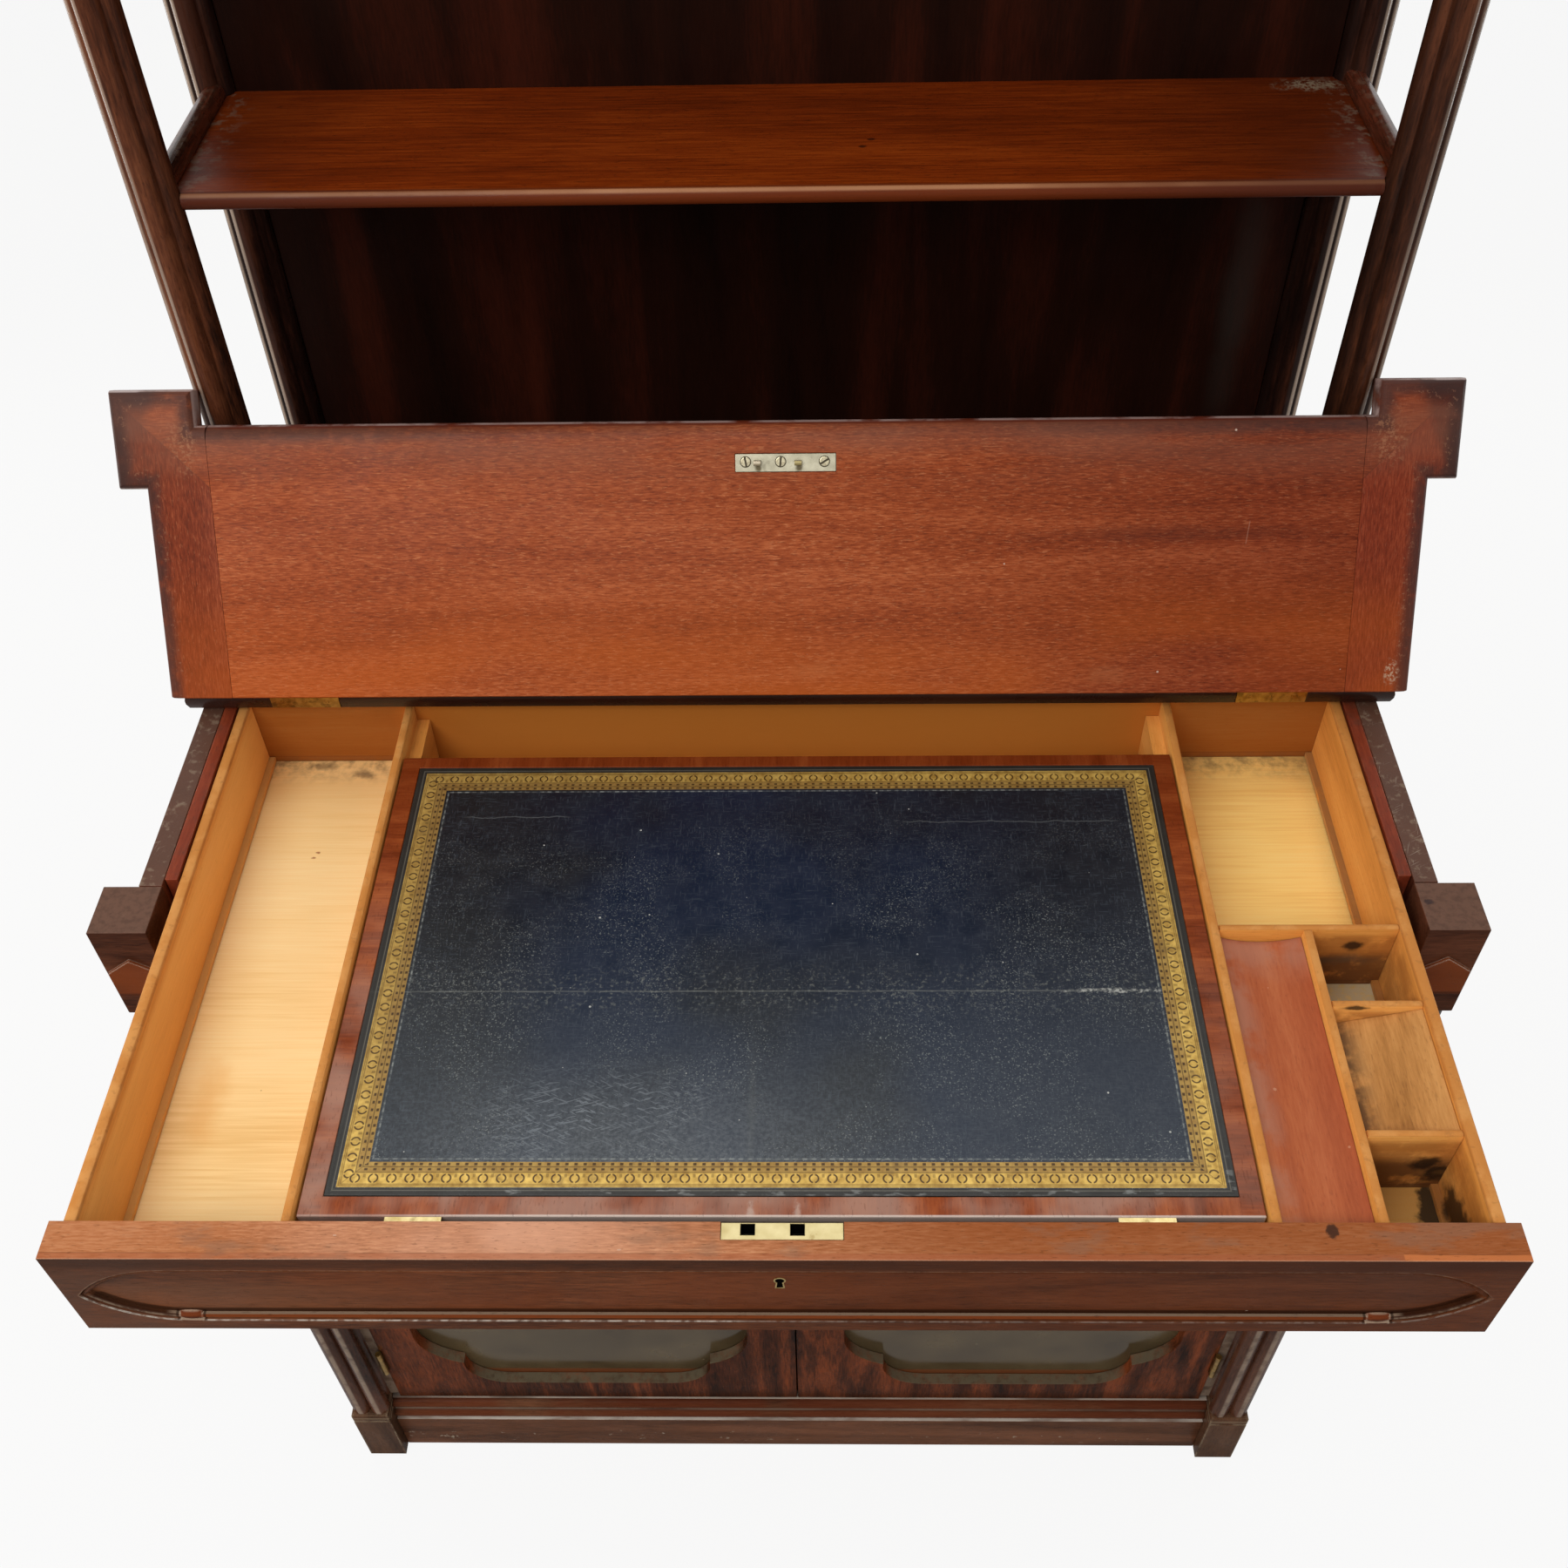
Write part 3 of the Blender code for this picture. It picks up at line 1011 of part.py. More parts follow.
def make_door_hinge(frame, name, axis, sign, low):
    """Butt hinge let into the edge of a door, with its knuckle in front of the face."""
    high = low + DOOR_HINGE_LENGTH
    leaf_x = span(sign, DOOR_OUTER - DOOR_LEAF_THICKNESS, DOOR_OUTER)
    leaf_back = DOOR_SETBACK + DOOR_LEAF_WIDTH
    hinge = put(cuboid(leaf_x, (DOOR_AXIS_Y, leaf_back), (low, high)), name, axis, "brass")
    knuckle = upright_rod(DOOR_KNUCKLE_RADIUS, sign * DOOR_AXIS_X, DOOR_AXIS_Y, (low, high))
    add(hinge, knuckle, axis, "knuckle")
    room_x = span(sign, DOOR_OUTER - DOOR_LEAF_THICKNESS - FIT, DOOR_OUTER + RUN)
    room = cuboid(room_x, (DOOR_SETBACK - RUN, leaf_back + FIT), (low - FIT, high + FIT))
    cut(frame, room, axis, f"{name}_leaf")


clear_scene()
PARTS = new_collection("secretaire_chiffonier")
CUTTERS = new_collection("cutters")
CASE = new_axis("case_origin", None, (0, 0, 0))
DRAWER = new_axis("drawer_slide_axis", CASE, (0, DOOR_SETBACK, FRONT_BOTTOM))
SLOPE = new_axis("slope_hinge_axis", DRAWER, (0, SLOPE_AXIS_Y, SLOPE_TOP))
LID = new_axis("lid_hinge_axis", CASE, (0, LID_AXIS_Y, TOP_TOP))
DOOR_LEFT = new_axis("door_left_axis", CASE, (-DOOR_AXIS_X, DOOR_AXIS_Y, DOOR_BOTTOM))
DOOR_RIGHT = new_axis("door_right_axis", CASE, (DOOR_AXIS_X, DOOR_AXIS_Y, DOOR_BOTTOM))

make_plinth()
make_columns()
make_frieze_blocks()
make_case()
make_fixed_top()
make_superstructure()
make_lid()
make_lid_hinges()
make_drawer_front()
make_lock()
make_drawer_box()
make_partitions()
make_slope()
make_doors()

# The resting pose: lid open on the posts, drawer out, footprint centred on the origin
LID["empty"].rotation_euler.x = -lid_opening()
DRAWER["empty"].location.y -= DRAWER_PULL
REST_FRONT_Y = DOOR_SETBACK - DRAWER_PULL
CASE["empty"].location.y = -(REST_FRONT_Y + CASE_DEPTH) / 2
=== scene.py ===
"""Looks of the secretaire chiffonier: materials for the CAD nodes, small fittings, light, floor and camera.

Metres, z up, the same frame as the CAD part. The lid leans open and the drawer is out, as the part rests.
Colours are written as they look, 0 to 255.
"""
import json
from functools import reduce
from math import acos, cos, pi, radians, sin

import bmesh
import bpy
from mathutils import Matrix, Vector


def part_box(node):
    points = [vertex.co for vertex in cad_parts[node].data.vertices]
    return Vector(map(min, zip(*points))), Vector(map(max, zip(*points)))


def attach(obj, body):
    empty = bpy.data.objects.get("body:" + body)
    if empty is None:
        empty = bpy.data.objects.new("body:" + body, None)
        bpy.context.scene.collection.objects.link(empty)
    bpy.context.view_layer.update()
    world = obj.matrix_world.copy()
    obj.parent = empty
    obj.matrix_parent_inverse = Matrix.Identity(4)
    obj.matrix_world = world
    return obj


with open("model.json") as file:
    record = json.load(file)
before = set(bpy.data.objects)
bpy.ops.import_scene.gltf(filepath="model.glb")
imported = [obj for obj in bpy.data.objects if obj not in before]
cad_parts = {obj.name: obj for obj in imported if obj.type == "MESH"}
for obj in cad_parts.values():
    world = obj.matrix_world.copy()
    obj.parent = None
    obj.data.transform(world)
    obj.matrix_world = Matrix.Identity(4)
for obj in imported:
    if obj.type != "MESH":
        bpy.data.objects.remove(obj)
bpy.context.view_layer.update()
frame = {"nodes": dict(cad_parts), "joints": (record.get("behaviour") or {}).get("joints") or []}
NODES = frame["nodes"]
LID_HINGE = next(joint for joint in frame["joints"] if joint["name"] == "lid_hinge")
LID_PIVOT = Vector(LID_HINGE["pos_m"])
LID_TURN = Matrix.Rotation(radians(LID_HINGE["range_deg"][0]), 3, "X")     # from closed to where it rests
SIDES = (("left", -1), ("right", 1))
UP = (0, 0, 1)
FRONT = (0, -1, 0)
EVEN = (1, 1, 1)              # a pattern that is not drawn out

# Camera: worked out from the edges of the case, drawer and lid in a frame of 1800 by 1800 pixels
CAMERA_PLACE = (0.02341, -0.76929, 1.74307)
CAMERA_PITCH = radians(47.17)
CAMERA_YAW = radians(-1.76)
CAMERA_ROLL = radians(-1.54)
CAMERA_LENS = 37              # millimetres
CAMERA_SENSOR = 36

# Edges
EDGE_ANGLE = radians(32)      # sharper edges are eased, blunter ones are shaded round
EDGE_WIDTH = 0.0008
FINE_EDGE_WIDTH = 0.00035
JOINT_REACH = 0.0008          # edges nearer than this to a glued joint stay sharp
MERGE_DISTANCE = 1e-5

# Surface
FLECK_LENGTH = 5              # length of a pore, as a multiple of its width
RELIEF_DEPTH = 0.0003
RELIEF_STRENGTH = 0.25
COAT_ROUGHNESS = 0.12

# Case and drawer at rest
SHELF_TOP = 1.2563
FRONT_TOP = 0.910
SUNK_FACE = -0.3527           # floor of the sunk panel in the drawer front
SLOPE_TOP = 0.903             # leather of the writing slope
CEDAR_TOP = 0.9050            # above this the tops of sides, partitions and dividers are worn pale
FLOOR_TOP = 0.846

# Lid, in the places that it has when closed
LID_UNDERSIDE = 0.9108
LID_FREE_EDGE = -0.1155
LID_HINGE_EDGE = 0.0757
LID_END = 0.442
EAR_FRONT = -0.1396
EAR_BACK = -0.0726
EAR_OUTER = 0.4616
EAR_INNER = 0.4030
CLAMP_JOINT = 0.396           # between the panel and its end clamps
MITRE = 0.3225                # x plus y along the mitre of an end clamp
LID_ROUNDING = 0.0022
LINK_DROP = 0.0055            # how far the links stand off the link plate
LINK_Y = -0.0883              # line of the links and of the link plate's screws
LINK_TIPS = ((-0.0170, (176, 162, 140)), (0.0110, (150, 134, 84)))      # x and colour of each link

# Leather: the gilt border's outer edge, its rows and the folds
GILT_X = 0.2572
GILT_FRONT = -0.3083
GILT_REAR = 0.0207
GILT_WIDTH = 0.0164
RING_PITCH = 0.0107
RING_RADIUS = 0.0026
RING_SHIFT = 0.0011
RING_ROW = 0.0058             # distance of each row from the border's outer edge
DASH_ROWS = ((0.0109, 0.0124), (0.0142, 0.0159))
GILT_LINES = ((0.0010, 0.6), (0.0020, 0.6), (0.0096, 0.75), (0.0133, 0.8))     # each with its darkness
BLIND_LINE = 0.0184
FOLD_Y = -0.1702


def rgb(red, green, blue):
    """A colour as it looks on the screen, as the linear values that a shader takes."""

    def linear(value):
        value /= 255
        return value / 12.92 if value <= 0.04045 else ((value + 0.055) / 1.055) ** 2.4

    return (linear(red), linear(green), linear(blue), 1)


def feed(tree, socket, value):
    """Give an input socket a constant, or link it to an output socket."""
    if isinstance(value, bpy.types.NodeSocket):
        tree.links.new(value, socket)
    else:
        socket.default_value = value


def add_node(tree, kind, inputs=None, **settings):
    node = tree.nodes.new(kind)
    for key, value in settings.items():
        setattr(node, key, value)
    for key, value in (inputs or {}).items():
        feed(tree, node.inputs[key], value)
    return node


class Value:
    """A number, colour or vector over a surface. A paint that uses it makes its nodes, once."""

    def __init__(self, make):
        self.make = make

    def __add__(self, other):
        return math("ADD", self, other)

    def __sub__(self, other):
        return math("SUBTRACT", self, other)

    def __rsub__(self, other):
        return math("SUBTRACT", other, self)

    def __mul__(self, other):
        return math("MULTIPLY", self, other)

    def __abs__(self):
        return math("ABSOLUTE", self)

    def ease(self, start, end, low=0, high=1):
        """Smooth change from low to high while the value goes from start to end, in either order."""
        inputs = {"Value": self, "From Min": start, "From Max": end, "To Min": low, "To Max": high}
        return output("MapRange", inputs, interpolation_type="SMOOTHSTEP")

    def band(self, low, high, soft):
        """1 between low and high, 0 outside."""
        return self.ease(low - soft, low + soft) * self.ease(high + soft, high - soft)


def output(kind, inputs=None, socket=0, **settings):
    """The value of a shader node's output."""
    return Value(lambda paint: paint.node(kind, inputs, **settings).outputs[socket])


def math(operation, first, second=0, third=0):
    return output("Math", {0: first, 1: second, 2: third}, operation=operation)


def vector(operation, first, second):
    socket = "Value" if operation in ("LENGTH", "DOT_PRODUCT") else "Vector"
    return output("VectorMath", {0: first, 1: second}, socket, operation=operation)


PLACE = Value(lambda paint: paint.place)
X, Y, Z = (output("SeparateXYZ", {"Vector": PLACE}, axis) for axis in range(3))
OUT = abs(X)


def least(*values):
    return reduce(lambda first, second: math("MINIMUM", first, second), values)


def most(*values):
    return reduce(lambda first, second: math("MAXIMUM", first, second), values)


def pick(mask, first, second):
    """The first value where the mask is 0 and the second where it is 1."""
    return mask * (second - first) + first


def drawn_out(along, length=10):
    """Stretch of a pattern that is so many times longer along one axis."""
    return tuple(1 / length if axis == along else 1 for axis in "xyz")


def noise(scale, stretch=EVEN, detail=3, rough=0.55, bend=0, shift=0):
    """Noise with so many features a metre, drawn out where stretch is below 1."""
    place = vector("ADD", vector("MULTIPLY", PLACE, stretch), (shift, shift, shift))
    inputs = {"Vector": place, "Scale": scale, "Detail": detail, "Roughness": rough, "Distortion": bend}
    return output("TexNoise", inputs, "Fac")


def patches(scale, start, end, stretch=EVEN):
    """Ragged patches where the noise is over a limit."""
    return noise(scale, stretch, 5, 0.6).ease(start, end)


def spot(centre, reach, ragged=0.5, scale=60, soft=0.5):
    """A soft spot with a ragged outline."""
    away = vector("LENGTH", vector("DIVIDE", vector("SUBTRACT", PLACE, centre), reach), (0, 0, 0))
    outline = noise(scale, detail=4) * (ragged * 2) - ragged
    return (away + outline).ease(1, 1 - soft)


def specks(spacing, size, stretch=EVEN):
    """Small round specks, about one in a cell of this spacing; most are smaller than size."""
    inputs = {"Vector": vector("MULTIPLY", PLACE, stretch), "Scale": 1 / spacing}
    near = output("TexVoronoi", inputs, "Distance") * spacing
    chance = output("SeparateXYZ", {"Vector": output("TexVoronoi", inputs, "Color")})
    return math("LESS_THAN", near, math("POWER", chance, 3) * size)


def strokes(turn, scale, limit, length):
    """Thin strokes in one direction on a level face, so many times longer than wide."""
    inputs = {"Vector": PLACE, "Rotation": (0, 0, turn), "Scale": (length, 1, 1)}
    place = output("Mapping", inputs, vector_type="TEXTURE")
    lines = output("TexNoise", {"Vector": place, "Scale": scale, "Detail": 1}, "Fac")
    return lines.ease(limit, limit + 0.03)


def facing(direction, start=0.5, end=0.9):
    """1 where the object's own normal points along a direction of length 1."""
    return vector("DOT_PRODUCT", output("TexCoord", socket="Normal"), direction).ease(start, end)


def edges(radius=0.003, start=0.03, end=0.30):
    """1 along the edges of the solid."""
    rounded = output("Bevel", {"Radius": radius}, "Normal", samples=4)
    flat = output("NewGeometry", socket="True Normal")
    return vector("DOT_PRODUCT", rounded, flat).ease(1 - start, 1 - end)


def corners(distance, start=0.75, end=0.25):
    """1 in corners and other places that little light reaches."""
    return output("AmbientOcclusion", {"Distance": distance}, "AO", samples=6).ease(start, end)


def grain(along, figure=22, swirl=1, fibre=0.5, fine=600, broad=1, length=10):
    """Value about 0.5 that follows wood grain along an axis: broad figure and fine fibres."""
    clouds = noise(figure, drawn_out(along), 4, 0.5, swirl)
    fibres = noise(fine, drawn_out(along, length), 3, 0.65)
    return clouds * broad + fibres * fibre + (0.5 - 0.5 * fibre - 0.5 * broad)


def ramp(value, *stops):
    """Colours by value; each stop is (value, colour)."""

    def make(paint):
        node = paint.node("ValToRGB", {0: value})
        elements = node.color_ramp.elements
        while len(elements) < len(stops):
            elements.new(1)
        for element, (position, colour) in zip(elements, stops):
            element.position = position
            element.color = rgb(*colour)
        return node.outputs["Color"]

    return Value(make)


def tone(value, colours, contrast=1):
    """Dark, middle and light colours for a value about 0.5."""
    half = 0.22 / contrast
    dark, middle, light = colours
    return ramp(value, (0.5 - half, dark), (0.5, middle), (0.5 + half, light))


class Paint:
    """One procedural material: a tint, made of layers, and a relief."""

    def __init__(self, name, roughness, metallic=0, specular=0.12, coat=0, lid=False):
        self.material = bpy.data.materials.new(name)
        self.material.use_nodes = True
        self.tree = self.material.node_tree
        self.sockets = {}
        self.place = self.node("TexCoord").outputs["Object"]
        if lid:
            self.place = self.closed_lid()
        self.roughness = roughness
        self.set("Roughness", roughness)
        self.set("Metallic", metallic)
        self.set("Specular IOR Level", specular)
        self.set("Coat Weight", coat)
        self.set("Coat Roughness", COAT_ROUGHNESS)
        self.tint = None
        self.height = None

    def found(self, value):
        """The output socket of a value, or a constant as it is."""
        if not isinstance(value, Value):
            return value
        if value not in self.sockets:
            self.sockets[value] = value.make(self)
        return self.sockets[value]

    def node(self, kind, inputs=None, **settings):
        inputs = {key: self.found(value) for key, value in (inputs or {}).items()}
        return add_node(self.tree, "ShaderNode" + kind, inputs, **settings)

    def closed_lid(self):
        """Turn the place on the open lid back to where it is on the closed lid."""
        back = LID_TURN.inverted()
        shift = LID_PIVOT - back @ LID_PIVOT
        inputs = {"Vector": self.place, "Location": shift, "Rotation": back.to_euler()}
        return self.node("Mapping", inputs, vector_type="POINT").outputs[0]

    def set(self, name, value):
        """Set or link one socket of the shader."""
        feed(self.tree, self.tree.nodes["Principled BSDF"].inputs[name], self.found(value))

    def lay(self, colour, mask, strength=1, blend="MIX"):
        """Cover the tint made so far with a colour where the mask is 1."""
        cover = colour if isinstance(colour, Value) else rgb(*colour)
        inputs = {0: mask * strength, 6: self.tint, 7: cover}
        node = self.node("Mix", inputs, data_type="RGBA", blend_type=blend, clamp_factor=True)
        self.tint = node.outputs[2]

    def worn_edges(self, colour, strength, radius=0.0022):
        """Rubbed edges, with gaps."""
        self.lay(colour, edges(radius) * patches(70, 0.40, 0.62), strength)

    def uneven(self, amount, scale=30):
        """Let the roughness vary by so much either way."""
        low = max(0.04, self.roughness - amount)
        self.set("Roughness", noise(scale, detail=4).ease(0.25, 0.75, low, self.roughness + amount))

    def pores(self, along, colour, strength, limit=0.60, scale=900, shift=0):
        """Short fine strokes along the grain, which are also cut into the surface."""
        mask = noise(scale, drawn_out(along, FLECK_LENGTH), 2, shift=shift).ease(limit, limit + 0.10)
        self.lay(colour, mask, strength)
        self.height = self.height or mask * -1

    def finish(self):
        """Link the tint and the relief to the shader."""
        self.set("Base Color", self.tint)
        if self.height:
            inputs = {"Strength": RELIEF_STRENGTH, "Distance": RELIEF_DEPTH, "Height": self.height}
            self.set("Normal", self.node("Bump", inputs).outputs["Normal"])
        return self.material


def wood(name, colours, along, pore=(30, 14, 8), pores=0.35, contrast=1, roughness=0.35, specular=0.12,
         coat=0, **settings):
    """Wood with its grain along one axis."""
    paint = Paint(name, roughness, specular=specular, coat=coat)
    paint.tint = tone(grain(along, **settings), colours, contrast)
    paint.pores(along, pore, pores)
    paint.uneven(0.08)
    return paint


def metal(name, roughness, scale, dark, light, detail=5, lid=False):
    """Metal with a cloudy tint."""
    paint = Paint(name, roughness, metallic=1, lid=lid)
    paint.tint = ramp(noise(scale, detail=detail), (0.3, dark), (0.7, light))
    return paint


def pair(name):
    """Names of the left and the right node."""
    return [f"{name}_{side}" for side, _ in SIDES]


def dress(paint, *names, edge=EDGE_WIDTH, joint=None):
    """Give CAD nodes a finished material and eased edges, apart from edges at the glued joint x = joint."""
    material = paint.finish()
    for name in names:
        node = NODES[name]
        node.data.materials.clear()
        node.data.materials.append(material)
        smooth_edges(node, edge, joint)


def edge_group(joint):
    """Geometry nodes that join a solid's faces, shade its blunt edges round and mark the sharp ones."""
    group = bpy.data.node_groups.new("join_faces", "GeometryNodeTree")
    for direction in ("INPUT", "OUTPUT"):
        group.interface.new_socket("Geometry", in_out=direction, socket_type="NodeSocketGeometry")

    def add(kind, inputs=None, **settings):
        return add_node(group, kind, inputs, **settings)

    def combine(operation, first, second=0):
        return add("ShaderNodeMath", {0: first, 1: second}, operation=operation).outputs[0]

    angle = add("GeometryNodeInputMeshEdgeAngle").outputs["Unsigned Angle"]
    sharp = combine("GREATER_THAN", angle, EDGE_ANGLE)
    eased = sharp
    if joint is not None:
        middle = add("ShaderNodeSeparateXYZ", {0: add("GeometryNodeInputPosition").outputs[0]}).outputs[0]
        off_joint = combine("ABSOLUTE", combine("SUBTRACT", combine("ABSOLUTE", middle), joint))
        eased = combine("MULTIPLY", sharp, combine("GREATER_THAN", off_joint, JOINT_REACH))
    marks = {"Name": "bevel_weight_edge", "Value": eased}
    chain = [
        add("NodeGroupInput"),
        add("GeometryNodeMergeByDistance", {"Distance": MERGE_DISTANCE}),
        add("GeometryNodeRemoveAttribute", {"Name": "custom_normal"}),
        add("GeometryNodeSetShadeSmooth"),
        add("GeometryNodeSetShadeSmooth", {"Selection": sharp, "Shade Smooth": False}, domain="EDGE"),
        add("GeometryNodeStoreNamedAttribute", marks, domain="EDGE"),
        add("NodeGroupOutput"),
    ]
    for first, second in zip(chain, chain[1:]):
        group.links.new(first.outputs[0], second.inputs[0])
    return group


JOIN_FACES = {}               # node groups, by glued joint


def smooth_edges(obj, width, joint=None):
    if joint not in JOIN_FACES:
        JOIN_FACES[joint] = edge_group(joint)
    obj.modifiers.new("join_faces", "NODES").node_group = JOIN_FACES[joint]
    bevel = obj.modifiers.new("eased_edges", "BEVEL")
    bevel.width = width
    bevel.segments = 3
    bevel.limit_method = "WEIGHT"
    bevel.harden_normals = True


def add_object(name, data):
    thing = bpy.data.objects.new(name, data)
    bpy.context.scene.collection.objects.link(thing)
    return thing


def make_camera():
    data = bpy.data.cameras.new("camera")
    data.sensor_width = CAMERA_SENSOR
    data.lens = CAMERA_LENS
    place = Matrix.Translation(CAMERA_PLACE)
    for angle, axis in ((-CAMERA_YAW, "Z"), (pi / 2 - CAMERA_PITCH, "X"), (CAMERA_ROLL, "Z")):
        place = place @ Matrix.Rotation(angle, 4, axis)
    camera = add_object("camera", data)
    camera.matrix_world = place
    bpy.context.scene.camera = camera


def area_light(name, place, target, size, power):
    data = bpy.data.lights.new(name, "AREA")
    data.shape = "DISK"
    data.size = size
    data.energy = power
    light = add_object(name, data)
    light.location = place
    light.rotation_euler = (Vector(target) - Vector(place)).to_track_quat("-Z", "Y").to_euler()


def seen_share(tree, camera_share, mirror_share):
    """One share for rays from the camera, one for rays from a mirror or glass, and 0 for the rest."""
    rays = add_node(tree, "ShaderNodeLightPath").outputs

    def combine(operation, first, second):
        return add_node(tree, "ShaderNodeMath", {0: first, 1: second}, operation=operation).outputs[0]

    mirrored = combine("MAXIMUM", rays["Is Glossy Ray"], rays["Is Transmission Ray"])
    direct = combine("MULTIPLY", rays["Is Camera Ray"], camera_share)
    return combine("ADD", direct, combine("MULTIPLY", mirrored, mirror_share))


def make_floor():
    """Pale floor that keeps a soft shadow."""
    mesh = bpy.data.meshes.new("floor")
    work = bmesh.new()
    bmesh.ops.create_grid(work, x_segments=1, y_segments=1, size=9)
    work.to_mesh(mesh)
    work.free()
    floor = add_object("floor", mesh)
    material = bpy.data.materials.new("pale_floor")
    material.use_nodes = True
    tree = material.node_tree
    shader = tree.nodes["Principled BSDF"]
    feed(tree, shader.inputs["Base Color"], rgb(196, 192, 188))
    feed(tree, shader.inputs["Roughness"], 0.9)
    glow = add_node(tree, "ShaderNodeEmission")
    shares = {0: seen_share(tree, 0.90, 0.22), 1: shader.outputs[0], 2: glow.outputs[0]}
    blend = add_node(tree, "ShaderNodeMixShader", shares)
    feed(tree, tree.nodes["Material Output"].inputs["Surface"], blend.outputs[0])
    mesh.materials.append(material)


def make_light():
    """White surroundings and soft lamps: one high at the front left, one overhead behind, and the sides."""
    world = bpy.data.worlds.new("surroundings")
    bpy.context.scene.world = world
    world.use_nodes = True
    tree = world.node_tree
    inputs = {"Value": seen_share(tree, 1, 1), "To Min": 0.36, "To Max": 1}
    background = tree.nodes["Background"].inputs
    feed(tree, background["Color"], (1, 1, 1, 1))
    feed(tree, background["Strength"], add_node(tree, "ShaderNodeMapRange", inputs).outputs[0])
    area_light("key_light", (-0.9, -1.5, 3), (0, 0, 0.9), 1.8, 46)
    area_light("top_light", (0, 1, 3.2), (0, 0, 0.9), 2.4, 24)
    area_light("left_light", (-2.6, -0.9, 1.9), (0, 0, 0.8), 1.6, 14)
    area_light("right_light", (2.6, -0.9, 1.9), (0, 0, 0.8), 1.6, 9)
    for side, sign in SIDES:
        area_light(f"rim_{side}", (sign * 2.2, 1.5, 0.9), (sign * 0.4, 0.2, 1.1), 1.2, 9)


# Wood colours: dark, middle and light, and by side where the left (-1) and the right (1) differ
POLISHED = ((24, 11, 7), (56, 26, 15), (98, 44, 26))
LID_RED = ((112, 46, 22), (147, 68, 34), (176, 94, 54))
CLAMP_RED = {
    -1: ((88, 36, 19), (118, 49, 26), (146, 71, 42)),
    1: ((112, 48, 27), (148, 66, 38), (178, 92, 56)),
}
CEDAR = ((198, 126, 54), (226, 154, 74), (242, 178, 98))
POST_BROWN = {
    -1: ((34, 17, 10), (86, 46, 28), (120, 70, 44)),
    1: ((28, 14, 9), (66, 35, 21), (100, 56, 35)),
}
REAR_POST_BROWN = ((16, 8, 6), (38, 19, 13), (70, 38, 26))
COLUMN_BROWN = ((32, 18, 12), (70, 40, 27), (100, 61, 42))
PLINTH_BROWN = ((66, 40, 26), (102, 64, 43), (126, 80, 55))
TOP_BROWN = ((48, 22, 14), (82, 38, 21), (114, 56, 30))

# Shared values: the grain of the lid's underside, the tops of sides and frieze blocks, and the ink wells
LID_FIBRES = dict(fibre=0.9, fine=950, broad=0.55, length=7)
ACROSS_LID = grain("x", figure=26, **LID_FIBRES)
ALONG_CLAMP = grain("y", figure=30, **LID_FIBRES)
CASE_TOP = facing(UP) * Z.ease(0.905, 0.909)
IN_WELLS = X.ease(0.3435, 0.344)


def lid_border(out):
    """Distance in from the lid's outline, for a panel with an ear at its end."""
    panel = least(Y - LID_FREE_EDGE, LID_END - out)
    ear = least(out - EAR_INNER, EAR_OUTER - out, Y - EAR_FRONT, EAR_BACK - Y)
    return most(panel, ear)


def lid_wood(name):
    """Underside of the lid, with its grain along x."""
    paint = Paint(name, 0.42, specular=0.08, lid=True)
    paint.tint = tone(ACROSS_LID, LID_RED)
    return paint


def lid_shading(paint, border):
    """What the whole underside shares: darker to the right, orange low down, a painted sheen and grime with
    painted shade in from the free edge, and a painted highlight along the edges.
    """
    paint.lay((206, 190, 194), X.ease(0.02, 0.4), 1, "MULTIPLY")
    paint.lay((178, 84, 22), Y.ease(-0.03, LID_HINGE_EDGE) * noise(7, (0.4, 1, 1)).ease(0.3, 0.62), 0.6)
    # Paler, greyer band toward the free edge: a dull worn polish with a painted sheen.
    dull = Y.ease(LID_FREE_EDGE + 0.055, LID_FREE_EDGE)
    paint.lay((124, 80, 62), dull * noise(30, (0.2, 1, 1)).ease(0.3, 0.6), 0.55)
    # Dark band in from the outline, strongest toward the ends: grime and painted shade on the rounded edge.
    grime_and_shade = border.ease(0.015, 0.006) * OUT.ease(0.05, 0.4, 0.4)
    paint.lay((58, 40, 36), grime_and_shade * noise(80, detail=5).ease(0.25, 0.5, 0.4), 0.75)
    paint.lay((92, 36, 22), border.ease(0.003, 0.0016) * OUT.ease(0.4, 0.38), 0.8)
    # Painted highlight: a broken pale line along the rounded edges.
    paint.lay((196, 172, 164), border.band(-0.0002, 0.001, 0.0004) * patches(40, 0.34, 0.56), 0.55)
    paint.lay((214, 186, 166), specks(0.022, 0.0008), 0.6)
    paint.lay(tone(grain("x"), TOP_BROWN), Z.ease(LID_UNDERSIDE + 0.012, LID_UNDERSIDE + 0.016))
    paint.uneven(0.08)


def lid_panel_look():
    paint = lid_wood("lid_panel_wood")
    paint.pores("x", (200, 128, 84), 0.36, 0.58, 950)
    paint.pores("x", (84, 32, 15), 0.45, 0.58, 950, 3.7)
    streak = spot((0.27, -0.037, LID_UNDERSIDE), (0.13, 0.008, 0.05), 0.5, 40, 0.8)
    paint.lay((92, 44, 30), streak, 0.35)
    for x, y in ((0.02, 0.058), (0.228, 0.062)):
        paint.lay((172, 104, 64), spot((x, y, LID_UNDERSIDE), (0.022, 0.01, 0.05), 0.8, 90, 0.8), 0.3)
    scratch = (Y * 0.12 + X).band(0.3157, 0.3163, 0.0003) * Y.band(-0.0455, -0.03, 0.001)
    paint.lay((196, 150, 122), scratch, 0.45)
    lid_shading(paint, Y - LID_FREE_EDGE)
    return paint


